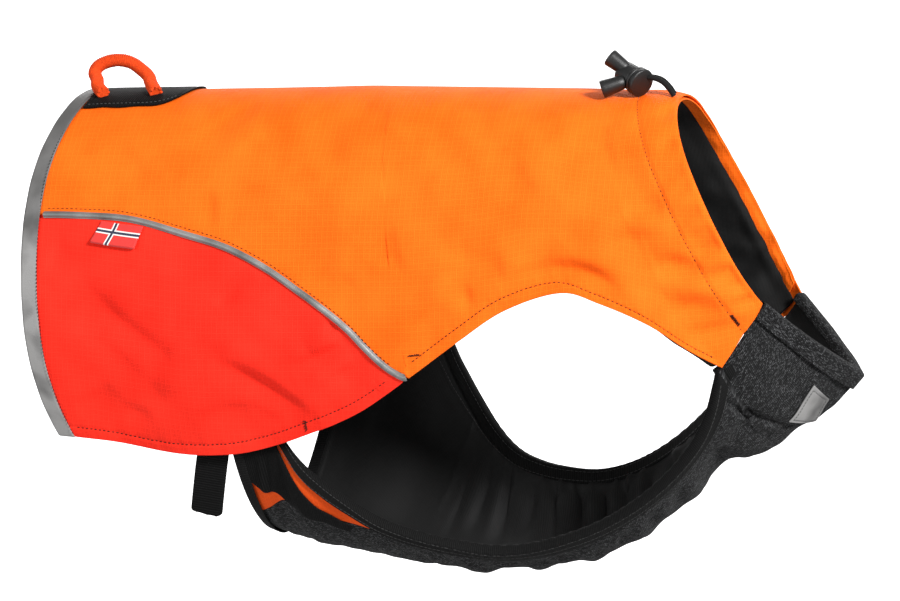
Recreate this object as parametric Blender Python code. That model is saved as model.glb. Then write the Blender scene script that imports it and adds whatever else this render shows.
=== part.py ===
# Dog protection vest, filled out as if worn: shell, knit chest and belly, bindings and fittings.
# X runs from the tail to the head, -Y is the dog's right side, Z is up. Sizes here are millimetres.
# The origin is on the lining at the spine, half way along the back, where the wearer's back carries
# the vest. Heights in the tables are counted from the top of the back instead, ORIGIN_RISE higher.
import math
from collections import namedtuple

import bpy
import numpy as np

MM = 0.001

# Cloth walls and clearances
SHELL = 1.2
LINING = 1.0
KNIT = 1.4
LOFT = 1.5
LOWER_LOFT = 1.8
STACK = SHELL + LOFT + LINING
LOWER_STACK = KNIT + LOWER_LOFT + LINING
SEAM = 0.3
TRIM = 2.0
TAPE = 0.9
FOLD_ROOM = 0.6
INNER_ROOM = 1.1
LOOSE_FOLD, LOOSE_INNER = 1.2, 2.0
ORIGIN_RISE = STACK + 1.0

# Widths of the sewn-on pieces
REAR_TAPE_WIDTH = 10.5
LEG_BINDING_WIDTH = 10.0
BELLY_BINDING_WIDTH = 6.2
FACING_WIDTH = 8.0
COLLAR_WIDTH = 10.5
PIPING_HALF = 2.2
PIPING_HEIGHT = 1.8
WEBBING_WIDTH = 20.0
WEBBING_THICK = 2.0

# Round pieces
ROPE_RADIUS = 3.7
CORD_RADIUS = 1.6
LOCK_RADIUS = 7.2
LOCK_HEIGHT = 20.0
BARREL_RADIUS = 4.3
BARREL_LENGTH = 14.0

# Ribs of the upper body from the rear edge to the neck edge. Each runs from the spine to the lower
# edge. bow moves its middle along X, depth is the height of the full barrel it is cut from, piping is
# the share of the drop where orange meets red, and left_lift raises the left side's lower edge.
Rib = namedtuple("Rib", "spine_x spine_z low_x low_z bow half_width depth piping left_lift")
RIBS = [
    Rib(-214, -7, -211, -229, -19, 89, 286, 0.345, 0),
    Rib(-188, -6, -177, -231, -17, 91, 288, 0.343, 0),
    Rib(-149, -5, -141, -237, -14, 92, 292, 0.343, 0),
    Rib(-114, -4, -107, -238, -11, 93, 296, 0.380, 0),
    Rib(-79, -3, -74, -233, -8, 94, 300, 0.437, 1),
    Rib(-48, -2, -38, -220, -6, 95, 304, 0.553, 4),
    Rib(-20, -1, -3, -204, -4, 96, 306, 0.729, 8),
    Rib(4, -1, 31, -180, -3, 97, 306, 1.0, 11),
    Rib(24, -1, 64, -155, -2, 98, 304, 1.0, 13),
    Rib(41, -1, 93, -135, -2, 98, 300, 1.0, 13),
    Rib(57, -1, 128, -123, -2, 98, 292, 1.0, 9),
    Rib(76, -1, 153, -129, -2, 97, 280, 1.0, 5),
    Rib(94, -1, 184, -142, -3, 94, 260, 1.0, 2),
    Rib(114, -1, 208, -158, -4, 89, 236, 1.0, 0),
    Rib(134, -1, 226, -170, -5, 85, 213, 1.0, 0),
    Rib(165, -2, 241, -147, -5, 87, 176, 1.0, 0),
    Rib(189, -4, 251, -130, -4, 87, 148, 1.0, 0),
]
REAR_RIB_GAP = RIBS[1].spine_x - RIBS[0].spine_x
PIPING_END = 7
FLANK_END = PIPING_END - 0.12
PIPING_LAST = PIPING_END - 0.04
CORNER = 14
NECK = len(RIBS) - 1
ROUNDNESS = 2.2
BOW_FLATNESS = 2.6

# Rows of the lower body from the rear edge of the belly to the collar. right and left are the ends of
# the row, low is its middle. The last rows end on the shell's front seam instead.
Row = namedtuple("Row", "right_x right_y right_z low_x low_z left_x left_y left_z")
ROWS = [
    Row(-97, 76, -207, -83, -298, -67, 76, -205),
    Row(-84, 76, -206, -72, -302, -50, 77, -198),
    Row(-72, 76, -206, -59, -305, -33, 79, -190),
    Row(-51, 71, -240, -46, -308, -14, 80, -175),
    Row(-36, 67, -256, -30, -310, 6, 82, -166),
    Row(-20, 62, -269, -11, -313, 23, 81, -196),
    Row(-2, 56, -282, 10, -316, 37, 78, -219),
    Row(20, 51, -291, 32, -319, 52, 72, -239),
    Row(45, 47, -297, 59, -321, 67, 67, -252),
    Row(72, 44, -301, 85, -318, 85, 63, -259),
    Row(98, 45, -298, 109, -315, 104, 60, -262),
    Row(125, 50, -289, 131, -310, 124, 60, -263),
    Row(150, 56, -277, 151, -302, 143, 62, -259),
    Row(174, 63, -261, 172, -288, 162, 66, -251),
    Row(195, 69, -242, 194, -270, 182, 71, -237),
    Row(213, 74, -219, 215, -247, 202, 75, -217),
    Row(222, 76, -197, 236, -238, 216, 77, -197),
    Row(226, 75, -173, 255, -228, 227, 75, -173),
    Row(241, 66, -150, 280, -213, 241, 66, -150),
    Row(251, 56, -133, 306, -182, 251, 56, -133),
]
ROW_GAP = 24.0
HALF_BELLY = 110.0
SEAM_ROW = 17
COLLAR = len(ROWS) - 1
CHEST_START = 15.4
COLLAR_PINCH = 0.6
WING_END = 5.5
WING_SEAM_REAR = 0.40
WING_SEAM_FRONT = 0.94

# Cross lines of the lower body on the right and on the left; outside the last one the cloth lies flat
# under its binding
RIGHT_SHARES = [0.0, 0.25, 0.5, 0.76, 1.0]
LEFT_SHARES = [0.0, 0.2, 0.4, 0.58, 0.73, 0.86, 1.0]
LAST_SHARE = (RIGHT_SHARES[-2], LEFT_SHARES[-2])

# Gathers that the elastic leg bindings draw into the belly: rows they span, count and height
GATHER_START, GATHER_END, GATHER_COUNT, GATHER_HEIGHT = 6.2, 15.0, 11, 1.6
SAG_COUNT, SAG_HEIGHT = 5.5, 1.5

# Creases of the knit: from one row and share of the section to another, with depth and half width
Crease = namedtuple("Crease", "row_a side_a row_b side_b depth half_width")
CREASES = [
    Crease(15.4, -0.8, 15.4, 0.5, 3.6, 0.45),
    Crease(16.5, -0.72, 17.6, -0.15, 4.2, 0.45),
    Crease(17.9, -0.65, 18.3, -0.15, 2.5, 0.35),
    Crease(16.7, 0.75, 17.6, 0.20, 4.0, 0.42),
]

COLOURS = {
    "orange_nylon": ((0.95, 0.22, 0.025), 0.62),
    "red_nylon": ((0.93, 0.06, 0.03), 0.62),
    "black_lining": ((0.012, 0.012, 0.012), 0.7),
    "black_webbing": ((0.016, 0.016, 0.016), 0.75),
    "grey_reflective": ((0.20, 0.20, 0.20), 0.45),
    "grey_piping": ((0.17, 0.18, 0.18), 0.5),
    "melange_knit": ((0.045, 0.045, 0.048), 0.9),
    "orange_rope": ((0.86, 0.10, 0.015), 0.8),
    "black_plastic": ((0.02, 0.02, 0.021), 0.45),
    "flag_label": ((0.80, 0.03, 0.03), 0.7),
}


def clear_scene():
    for thing in list(bpy.data.objects):
        bpy.data.objects.remove(thing, do_unlink=True)


def material(name):
    made = bpy.data.materials.get(name)
    if made is None:
        made = bpy.data.materials.new(name)
        made.use_nodes = True
        shader = made.node_tree.nodes["Principled BSDF"]
        colour, roughness = COLOURS[name]
        shader.inputs["Base Color"].default_value = (*colour, 1.0)
        shader.inputs["Roughness"].default_value = roughness
        shader.inputs["Metallic"].default_value = 0.0
    return made


def smooth(rows, column, at, first, last):
    # A cubic through one column of a table, using only the rows from first to last
    at = min(max(at, first), last)
    low = min(int(at), last - 1)
    share = at - low
    value = [getattr(rows[min(max(i, first), last)], column) for i in range(low - 1, low + 3)]
    if low == first:
        value[0] = 2 * value[1] - value[2]
    if low + 1 == last:
        value[3] = 2 * value[2] - value[1]
    rise_a, rise_b = (value[2] - value[0]) / 2, (value[3] - value[1]) / 2
    gap = value[2] - value[1]
    bend = 3 * gap - 2 * rise_a - rise_b
    return value[1] + share * (rise_a + share * (bend + share * (rise_a + rise_b - 2 * gap)))


def rib_value(column, at):
    # The lower edge has a sharp corner where the leg hole meets the chest seam
    if at <= CORNER:
        return smooth(RIBS, column, at, 0, CORNER)
    return smooth(RIBS, column, at, CORNER, NECK)


def row_value(column, at):
    if at <= SEAM_ROW:
        return smooth(ROWS, column, at, 0, SEAM_ROW)
    return smooth(ROWS, column, at, SEAM_ROW, COLLAR)


RIB_STEPS = np.linspace(0, 1, 60) ** 2


def rib_line(at, side):
    # Points down one side of a rib, close together at the spine, with the length run so far
    lift = rib_value("left_lift", at) if side > 0 else 0.0
    spine_z, drop = rib_value("spine_z", at), rib_value("spine_z", at) - rib_value("low_z", at) - lift
    spine_x, low_x = rib_value("spine_x", at), rib_value("low_x", at)
    depth, half_width, bow = rib_value("depth", at), rib_value("half_width", at), rib_value("bow", at)
    along = spine_x + (low_x - spine_x) * RIB_STEPS
    along = along + bow * (1 - np.abs(2 * RIB_STEPS - 1) ** BOW_FLATNESS)
    level = np.abs(1 - 2 * drop * RIB_STEPS / depth)
    out = half_width * np.maximum(1 - level ** ROUNDNESS, 0) ** (1 / ROUNDNESS)
    line = np.stack([along, side * out, spine_z - drop * RIB_STEPS], axis=1)
    run = np.concatenate([[0], np.cumsum(np.linalg.norm(np.diff(line, axis=0), axis=1))])
    return line, run


LINES = {}


def body(at, share):
    # A point of the upper body: at counts ribs, share runs from the spine to 1 at the lower edge
    side = -1 if share < 0 else 1
    key = (round(at, 6), side)
    if key not in LINES:
        LINES[key] = rib_line(at, side)
    line, run = LINES[key]
    goal = abs(share) * run[-1]
    if goal > run[-1]:
        step = (line[-1] - line[-2]) / (run[-1] - run[-2])
        return line[-1] + step * (goal - run[-1])
    return np.array([np.interp(goal, run, line[:, k]) for k in range(3)])


def rib_length(at, side=-1):
    return rib_line(at, side)[1][-1]


def piping_share(at, side):
    # The share of the rib's length at which orange meets red
    line, run = rib_line(at, side)
    return float(np.interp(rib_value("piping", at), RIB_STEPS, run) / run[-1])


def crease_depth(at, side):
    # Depth of all creases at one place, each a soft trough round its line
    total = 0.0
    for c in CREASES:
        ax, ay, bx, by = c.row_a, c.side_a * 2, c.row_b, c.side_b * 2
        px, py = at, side * 2
        run = ((px - ax) * (bx - ax) + (py - ay) * (by - ay)) / ((bx - ax) ** 2 + (by - ay) ** 2)
        run = min(max(run, 0.0), 1.0)
        off = math.hypot(px - ax - run * (bx - ax), py - ay - run * (by - ay))
        total += c.depth * math.exp(-(off / c.half_width) ** 2)
    return total


def ramp(value, start, end):
    share = min(max((value - start) / (end - start), 0.0), 1.0)
    return share * share * (3 - 2 * share)


def gather_height(at, side):
    # Waves stand highest just inside the binding and fade towards the middle of the belly
    if not GATHER_START < at < GATHER_END:
        return 0.0
    turn = (at - GATHER_START) / (GATHER_END - GATHER_START)
    fade = ramp(turn, 0, 0.08) * ramp(1 - turn, 0, 0.08)
    inside = LAST_SHARE[0] if side < 0 else LAST_SHARE[1]
    near_edge = ramp(inside + 0.01 - abs(side), 0, 0.18) * (0.25 + 0.75 * ramp(abs(side), 0.2, 0.6))
    near_low = ramp(0.75 - abs(side), 0, 0.5)
    fine = GATHER_HEIGHT * near_edge * math.sin(2 * math.pi * GATHER_COUNT * turn)
    broad = SAG_HEIGHT * near_low * math.sin(2 * math.pi * SAG_COUNT * turn + 0.8)
    return fade * (fine + broad)


def seam_end(at, side):
    # Where a chest row meets the shell's front edge, just below it and a little inside
    rib = CORNER + (at - SEAM_ROW)
    share = 1 + (SEAM + 0.5) / rib_length(rib)
    return body(rib, side * share) - SEAM * normal(body, rib, side)


def plain_lower(at, share):
    # A point of the lower body without its waves: share runs from -1 on the right to 1 on the left
    side = "right" if share < 0 else "left"
    sign = -1 if share < 0 else 1
    if at > SEAM_ROW:
        end = seam_end(at, sign)
    else:
        end = np.array([row_value(side + "_x", at), sign * row_value(side + "_y", at),
                        row_value(side + "_z", at)])
    low = np.array([row_value("low_x", at), 0.0, row_value("low_z", at)])
    turn = abs(share) * math.pi / 2
    # A low side is a shallow bowl, a high one is round, and the collar is pinched at the front
    shallow = 1 - ramp((end[2] - low[2]) / abs(end[1]), 0.35, 1.1)
    pinch = COLLAR_PINCH * ramp(at, SEAM_ROW, COLLAR)
    rise = (1 - shallow) * (1 - math.cos(turn)) + shallow * share * share
    out = (1 - shallow) * math.sin(turn) + shallow * abs(share)
    rise = (1 - pinch) * rise + pinch * abs(share)
    out = (1 - pinch) * out + pinch * abs(share)
    return np.array([low[0] + (end[0] - low[0]) * rise, end[1] * out,
                     low[2] + (end[2] - low[2]) * rise])


def lower(at, share):
    flat = 1 - LAST_SHARE[0] if share < 0 else 1 - LAST_SHARE[1]
    height = gather_height(at, share) - crease_depth(at, share) * ramp(1 - abs(share) - flat, 0.0, 0.15)
    point = plain_lower(at, share)
    if abs(height) > 1e-4:
        point = point + height * normal(plain_lower, at, share)
    return point


CENTRE = {"body": -120.0, "lower": -190.0, "plain_lower": -190.0}


def slopes(surface, at, share):
    step_at, step_share = 0.02, 0.01
    last = NECK if surface is body else COLLAR
    ahead, behind = min(at + step_at, last), max(at - step_at, 0)
    high, under = min(share + step_share, 1.0), max(share - step_share, -1.0)
    along = (surface(ahead, share) - surface(behind, share)) / (ahead - behind)
    across = (surface(at, high) - surface(at, under)) / (high - under)
    return along, across


def normal(surface, at, share):
    # The unit vector that points out of the vest
    along, across = slopes(surface, at, share)
    out = np.cross(along, across)
    out = out / np.linalg.norm(out)
    point = surface(at, share)
    middle = np.array([point[0], 0.0, CENTRE[surface.__name__]])
    if surface is not body and at > SEAM_ROW:
        middle[0] = point[0] - 60
    return out if np.dot(out, point - middle) > 0 else -out


def raised(surface, at, share, height):
    return surface(at, share) + height * normal(surface, at, share)


def to_metres(point):
    return (float(point[0]) * MM, float(point[1]) * MM, (float(point[2]) + ORIGIN_RISE) * MM)


def finish_mesh(name, points, faces, finish, smooth_angle=40):
    mesh = bpy.data.meshes.new(name)
    mesh.from_pydata([to_metres(p) for p in points], [], faces)
    mesh.materials.append(material(finish))
    if signed_volume(mesh) < 0:
        mesh.flip_normals()
    mesh.shade_smooth()
    mesh.set_sharp_from_angle(angle=math.radians(smooth_angle))
    made = bpy.data.objects.new(name, mesh)
    bpy.context.scene.collection.objects.link(made)
    return made


def signed_volume(mesh):
    mesh.calc_loop_triangles()
    total = 0.0
    for tri in mesh.loop_triangles:
        a, b, c = (mesh.vertices[i].co for i in tri.vertices)
        total += a.dot(b.cross(c))
    return total


def wall(name, outer, inner, finish):
    # A closed wall between two grids of points of the same size
    outer, inner = np.array(outer), np.array(inner)
    rows, columns = outer.shape[:2]
    count = rows * columns
    points = np.concatenate([outer.reshape(-1, 3), inner.reshape(-1, 3)])
    faces = []
    for i in range(rows - 1):
        for j in range(columns - 1):
            a, b = i * columns + j, (i + 1) * columns + j
            faces.append((a, b, b + 1, a + 1))
            faces.append((a + count + 1, b + count + 1, b + count, a + count))
    for i in range(rows - 1):
        a, b = i * columns, (i + 1) * columns
        faces.append((a + count, b + count, b, a))
        a, b = a + columns - 1, b + columns - 1
        faces.append((a, b, b + count, a + count))
    for j in range(columns - 1):
        a = j
        faces.append((a, a + 1, a + 1 + count, a + count))
        a = (rows - 1) * columns + j
        faces.append((a + count, a + 1 + count, a + 1, a))
    return finish_mesh(name, points, faces, finish)


def layer(name, surface, stations, shares_at, high, low, finish):
    # A wall between two heights over a surface, with the cross lines that shares_at gives
    outer, inner = [], []
    for at in stations:
        shares = shares_at(at)
        outer.append([raised(surface, at, s, high) for s in shares])
        inner.append([raised(surface, at, s, low) for s in shares])
    return wall(name, outer, inner, finish)


def spaced(start, end, steps):
    return [start + (end - start) * i / steps for i in range(steps + 1)]


FIXED_SHARES = [0.0, 0.09, 0.18, 0.27, 0.345]
BODY_STATIONS = spaced(0, 12, 24) + spaced(12, NECK, 8)[1:]
LINING_STATIONS = spaced(0, PIPING_END, PIPING_END) + spaced(PIPING_END, 12, 10)[1:]
LINING_STATIONS += spaced(12, NECK, 8)[1:]


def both_sides(shares_of_side):
    # Cross lines from the right edge over the spine to the left edge
    def shares(at):
        right, left = shares_of_side(at, -1), shares_of_side(at, 1)
        return [-s for s in reversed(right)] + left[1:]
    return shares


def panel_shares(at, side):
    if at < PIPING_END:
        end = piping_share(at, side) - SEAM / 2 / rib_length(at, side)
    else:
        end = 1.0
    return FIXED_SHARES + spaced(FIXED_SHARES[-1], end, 5)[1:]


def flank_shares(at, side):
    start = piping_share(at, side) + SEAM / 2 / rib_length(at, side)
    return spaced(start, 1.0, 5)


def lining_shares(at, side):
    end = 1 - TRIM / rib_length(at, side)
    return FIXED_SHARES + spaced(FIXED_SHARES[-1], end, 5)[1:]


def make_upper_body():
    layer("back_panel", body, BODY_STATIONS, both_sides(panel_shares), 0, -SHELL, "orange_nylon")
    for side, name in ((-1, "flank_right"), (1, "flank_left")):
        stations = [at for at in BODY_STATIONS if at < PIPING_END] + [FLANK_END]
        layer(name, body, stations, lambda at, side=side: [side * s for s in flank_shares(at, side)],
              0, -SHELL, "red_nylon")
    lining_end = NECK - (FACING_WIDTH + SEAM) / neck_row_width()
    stations = [0.08] + [at for at in LINING_STATIONS if 0.2 < at < lining_end] + [lining_end]
    layer("body_lining", body, stations, both_sides(lining_shares), -SHELL - LOFT, -STACK,
          "black_lining")


def neck_row_width():
    # Width of cloth between the last two ribs, half way down the side
    return float(np.linalg.norm(body(NECK, -0.5) - body(NECK - 1, -0.5)))


def make_neck_facing():
    start = NECK - FACING_WIDTH / neck_row_width()
    layer("neck_facing", body, [start, NECK], both_sides(lining_shares), -SHELL - LOFT, -STACK,
          "orange_nylon")


def edge_binding(name, surface, path, leg, stack, finish, fold=FOLD_ROOM, room=INNER_ROOM):
    # A tape folded over an edge. path gives places on the edge with the way into the cloth as +1 or -1
    # along the rows or along the shares.
    outer, inner = [], []
    for at, share, way_at, way_share in path:
        along, across = slopes(surface, at, share)
        inward = along * way_at + across * way_share
        length = np.linalg.norm(inward)
        inward = inward / length
        edge, out = surface(at, share), normal(surface, at, share)
        in_at, in_share = at + way_at * leg / length, share + way_share * leg / length
        deep, deep_out = surface(in_at, in_share), normal(surface, in_at, in_share)
        under = stack + room
        outer.append([deep + deep_out * (fold + TAPE),
                      edge + out * (fold + TAPE) - inward * 0.3,
                      edge - out * 0.2 - inward * (fold + TAPE),
                      edge - out * (under - 0.2) - inward * (fold + TAPE),
                      edge - out * (under + TAPE) - inward * 0.3,
                      deep - deep_out * (under + TAPE)])
        inner.append([deep + deep_out * fold,
                      edge + out * fold + inward * 0.3,
                      edge - out * 0.2 - inward * fold,
                      edge - out * (under - 0.2) - inward * fold,
                      edge - out * under + inward * 0.3,
                      deep - deep_out * under])
    return wall(name, outer, inner, finish)


def make_rear_binding():
    shares = both_sides(lambda at, side: panel_shares(at, side) + flank_shares(at, side)[1:])(0)
    edge_binding("rear_binding", body, [(0, s, 1, 0) for s in shares], REAR_TAPE_WIDTH, STACK,
                 "grey_reflective")


def bead(name, centre_points, out_points, half_width, height, finish):
    # A half-round strip that lies on the cloth along a line
    outer, inner = [], []
    for i, centre in enumerate(centre_points):
        ahead = centre_points[min(i + 1, len(centre_points) - 1)]
        behind = centre_points[max(i - 1, 0)]
        out = out_points[i]
        across = np.cross(ahead - behind, out)
        across = across / np.linalg.norm(across)
        outer.append([centre + across * half_width * k + out * (0.5 + height * h)
                      for k, h in ((-1, 0.25), (-0.55, 0.85), (0, 1), (0.55, 0.85), (1, 0.25))])
        inner.append([centre + across * half_width * k + out * 0.5
                      for k in (-0.9, -0.5, 0, 0.5, 0.9)])
    return wall(name, outer, inner, finish)


def make_piping():
    start = (REAR_TAPE_WIDTH + 0.8) / REAR_RIB_GAP
    stations = [start] + [at for at in BODY_STATIONS if start + 0.1 < at < PIPING_LAST - 0.01]
    for side, name in ((-1, "piping_right"), (1, "piping_left")):
        shares = [side * piping_share(at, side) for at in stations]
        end = (PIPING_LAST, side * (1 - 1.5 / rib_length(PIPING_LAST)))
        places = list(zip(stations, shares)) + [end]
        centres = [body(at, s) for at, s in places]
        outs = [normal(body, at, s) for at, s in places]
        bead(name, centres, outs, PIPING_HALF, PIPING_HEIGHT, "grey_piping")


def wing_seam(at):
    share = at / WING_END
    return WING_SEAM_REAR + (WING_SEAM_FRONT - WING_SEAM_REAR) * share


def lower_stations(start, end):
    # More cross lines where the cloth is gathered or creased
    zones = [(0, 4, 6), (4, WING_END, 2), (WING_END + 0.08, GATHER_START, 2),
             (GATHER_START, GATHER_END, 4 * GATHER_COUNT), (GATHER_END, COLLAR - 0.4, 12)]
    found = []
    for a, b, steps in zones:
        found += [at for at in spaced(a, b, steps) if start + 0.05 < at < end - 0.05]
    found = sorted(set(round(at, 5) for at in found))
    return [start] + found + [end]


def knit_shares(at):
    # The knit meets the wings at the rear and reaches the edge in front of them
    edge = wing_seam(at) - SEAM / HALF_BELLY if at < WING_END + 0.02 else 1.0
    return [-edge * s for s in reversed(RIGHT_SHARES)] + [edge * s for s in LEFT_SHARES[1:]]


def wing_shares(at):
    seam = wing_seam(at)
    return [seam, (seam + 1) / 2, 1.0]


def chest_lining_shares(at):
    trim = 1 - TRIM / HALF_BELLY
    return [-trim * s for s in reversed(RIGHT_SHARES)] + [trim * s for s in LEFT_SHARES[1:]]


def make_lower_body():
    gap = SEAM / ROW_GAP
    layer("belly_panel", lower, lower_stations(0, CHEST_START - gap), knit_shares, 0, -KNIT,
          "melange_knit")
    layer("chest_panel", lower, lower_stations(CHEST_START + gap, COLLAR), knit_shares, 0, -KNIT,
          "melange_knit")
    layer("chest_lining", lower, lower_stations(0.12, COLLAR - 0.25), chest_lining_shares,
          -KNIT - LOWER_LOFT, -LOWER_STACK, "black_lining")
    for side, name in ((-1, "wing_right"), (1, "wing_left")):
        layer(name, lower, lower_stations(0, WING_END - gap),
              lambda at, side=side: [side * s for s in wing_shares(at)], 0, -SHELL, "orange_nylon")


def make_lower_bindings():
    for name, side, start in (("leg_binding_right", -1, 2.0), ("leg_binding_left", 1, 4.0)):
        path = [(at, side, 0, -side) for at in binding_stations(start, SEAM_ROW - 0.1)]
        edge_binding(name, lower, path, LEG_BINDING_WIDTH, LOWER_STACK, "black_webbing")
    wing = wing_shares(0)[1:]
    shares = [-s for s in reversed(wing)] + knit_shares(0) + wing
    edge_binding("belly_binding", lower, [(0, s, 1, 0) for s in shares],
                 BELLY_BINDING_WIDTH, LOWER_STACK, "black_webbing", LOOSE_FOLD, LOOSE_INNER)
    edge_binding("collar_edge", lower, [(COLLAR, s, -1, 0) for s in knit_shares(COLLAR)],
                 COLLAR_WIDTH, LOWER_STACK, "melange_knit", LOOSE_FOLD, LOOSE_INNER)


def binding_stations(start, end):
    # The binding is smoother than the gathers, so there it needs every second line only
    found = lower_stations(start, end)
    gathered = [at for at in found if GATHER_START < at < GATHER_END]
    return [at for at in found if at not in gathered[::2]]


def make_flap_details():
    # Webbing that runs down the right flap over the orange
    start, end, rear_share, front_share, half = 0.9, 5.2, 0.86, 0.74, 0.065

    def lines(at):
        middle = rear_share + (front_share - rear_share) * (at - start) / (end - start)
        return [-(middle + k * half) for k in (-1, 0, 1)]
    layer("flap_webbing", lower, spaced(start, end, 9), lines, 2.0, 0.6, "black_webbing")


def make_strap_end():
    # The free end of the webbing hangs from inside the right flank
    half = WEBBING_WIDTH / 2
    rows = [(-106.9, -74.0, -222.0), (-107.4, -72.0, -236.0), (-109.2, -71.5, -248.0),
            (-112.4, -71.5, -276.0), (-112.7, -71.5, -278.5)]
    outer, inner = [], []
    for i, (x, y, z) in enumerate(rows):
        width = half if i < len(rows) - 1 else half - 2.5
        outer.append([(x + k * width, y, z - k * 1.2) for k in (-1, -0.4, 0.4, 1)])
        inner.append([(x + k * width, y + WEBBING_THICK, z - k * 1.2) for k in (-1, -0.4, 0.4, 1)])
    return wall("strap_end", outer, inner, "black_webbing")


def make_handle():
    # The patch is widest at the tail and rounds off towards the head
    start, end, half = 0.46, 2.32, 40.0

    def patch_shares(at):
        run = (at - start) / (end - start)
        width = half * (1 - run ** 5) ** 0.5 if run < 1 else 0.0
        width = max(width, 2.0)
        share = width / rib_length(at)
        return spaced(-share, share, 8)
    stations = spaced(start, 1.5, 2) + spaced(1.5, end, 6)[1:]
    layer("handle_patch", body, stations, patch_shares, 1.7, 0.6, "black_webbing")
    route = [(-201.5, -15.5, -2.4), (-206.0, -11.5, 1.2), (-209.2, -8.0, 5.4), (-207.0, -6.0, 10.0),
             (-200.5, -5.0, 13.0), (-192.5, -5.0, 14.0), (-184.5, -5.5, 12.4), (-177.0, -7.0, 8.2),
             (-170.5, -10.0, 3.6), (-164.5, -14.0, -1.0)]
    tube("rope_handle", route, ROPE_RADIUS, 3, 22, "orange_rope")


def through(points, count):
    # Points read from a smooth curve through the route's own points
    Place = namedtuple("Place", "x y z")
    rows = [Place(*p) for p in points]
    last = len(rows) - 1
    return [tuple(smooth(rows, axis, last * i / (count - 1), 0, last) for axis in ("x", "y", "z"))
            for i in range(count)]


def tube(name, route, radius, sides, count, finish):
    curve = bpy.data.curves.new(name, "CURVE")
    curve.dimensions = "3D"
    curve.bevel_depth = radius * MM
    curve.bevel_resolution = sides
    curve.use_fill_caps = True
    spline = curve.splines.new("POLY")
    points = through(route, count)
    spline.points.add(count - 1)
    for point, place in zip(spline.points, points):
        point.co = (*to_metres(place), 1.0)
    curve.materials.append(material(finish))
    made = bpy.data.objects.new(name, curve)
    bpy.context.scene.collection.objects.link(made)
    return made


def turned(name, profile, base, axis, finish, sides=16):
    # A solid of revolution: profile holds pairs of height and radius along the axis
    axis = np.array(axis, dtype=float) / np.linalg.norm(axis)
    helper = np.array([0.0, 1.0, 0.0]) if abs(axis[1]) < 0.9 else np.array([1.0, 0.0, 0.0])
    first = np.cross(axis, helper)
    first = first / np.linalg.norm(first)
    second = np.cross(axis, first)
    points, faces = [], []
    for height, radius in profile:
        for k in range(sides):
            turn = 2 * math.pi * k / sides
            points.append(np.array(base) + axis * height
                          + radius * (first * math.cos(turn) + second * math.sin(turn)))
    for i in range(len(profile) - 1):
        for k in range(sides):
            a, b = i * sides + k, i * sides + (k + 1) % sides
            faces.append((a, b, b + sides, a + sides))
    faces.append(tuple(reversed(range(sides))))
    faces.append(tuple(range((len(profile) - 1) * sides, len(profile) * sides)))
    return finish_mesh(name, points, faces, finish)


# Neck drawcord: it leaves the casing at the top of the neck and runs through the lock to its ends
LOCK_CENTRE = (165.5, -24.0, 6.8)
CORD_ROUTES = {
    "drawcord_right": [(186.5, -23.5, -3.8), (183.5, -24.2, 0.6), (179.0, -25.2, 5.2), (173.0, -26.0, 7.6),
                       (165.5, -26.1, 8.0), (158.0, -26.3, 7.6), (152.5, -27.0, 5.6)],
    "drawcord_left": [(186.0, -18.2, -2.8), (183.0, -19.2, 1.8), (178.5, -20.5, 6.2), (173.0, -21.7, 8.0),
                      (165.5, -21.9, 8.2), (158.5, -21.6, 8.8), (155.8, -21.4, 10.8),
                      (153.0, -21.0, 13.6)],
}
BARRELS = {"cord_end_right": ((152.2, -27.0, 5.5), (-1.0, -0.1, -0.30)),
           "cord_end_left": ((152.75, -21.0, 13.85), (-0.80, 0.1, 0.55))}
LOCK_HOLE = (1.2, 4.6, 2.5)


def make_cord_lock():
    radius, height = LOCK_RADIUS, LOCK_HEIGHT
    profile = [(0, radius * 0.72), (1.2, radius * 0.94), (3.0, radius), (height * 0.62, radius),
               (height * 0.68, radius * 0.9), (height * 0.70, radius * 0.78),
               (height * 0.94, radius * 0.78), (height, radius * 0.6)]
    base = (LOCK_CENTRE[0], LOCK_CENTRE[1], LOCK_CENTRE[2] - height / 2)
    lock = turned("cord_lock", profile, base, (0.06, 0.0, 1.0), "black_plastic", 20)
    cutter_mesh = bpy.data.meshes.new("cord_slot")
    half_y, half_z, reach = LOCK_HOLE[1], LOCK_HOLE[2], radius * 2
    corners = [(x, y, z) for x in (-reach, reach) for y in (-half_y, half_y) for z in (-half_z, half_z)]
    faces = [(0, 1, 3, 2), (4, 6, 7, 5), (0, 4, 5, 1), (2, 3, 7, 6), (0, 2, 6, 4), (1, 5, 7, 3)]
    cutter_mesh.from_pydata([(x * MM, y * MM, z * MM) for x, y, z in corners], [], faces)
    cutter = bpy.data.objects.new("cord_slot", cutter_mesh)
    cutter.location = to_metres((LOCK_CENTRE[0], LOCK_CENTRE[1], LOCK_CENTRE[2] + LOCK_HOLE[0]))
    cutter.hide_render = True
    cutter.display_type = "WIRE"
    bpy.context.scene.collection.objects.link(cutter)
    cut = lock.modifiers.new("slot", "BOOLEAN")
    cut.object = cutter
    cut.operation = "DIFFERENCE"
    return lock


def make_drawcord():
    for name, route in CORD_ROUTES.items():
        tube(name, route, CORD_RADIUS, 2, 14, "black_webbing")
    make_cord_lock()
    for name, (start, axis) in BARRELS.items():
        profile = [(0.0, BARREL_RADIUS * 0.55), (1.2, BARREL_RADIUS * 0.8), (4.0, BARREL_RADIUS),
                   (BARREL_LENGTH * 0.9, BARREL_RADIUS), (BARREL_LENGTH, BARREL_RADIUS * 0.85)]
        turned(name, profile, start, axis, "black_plastic", 12)


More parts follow.
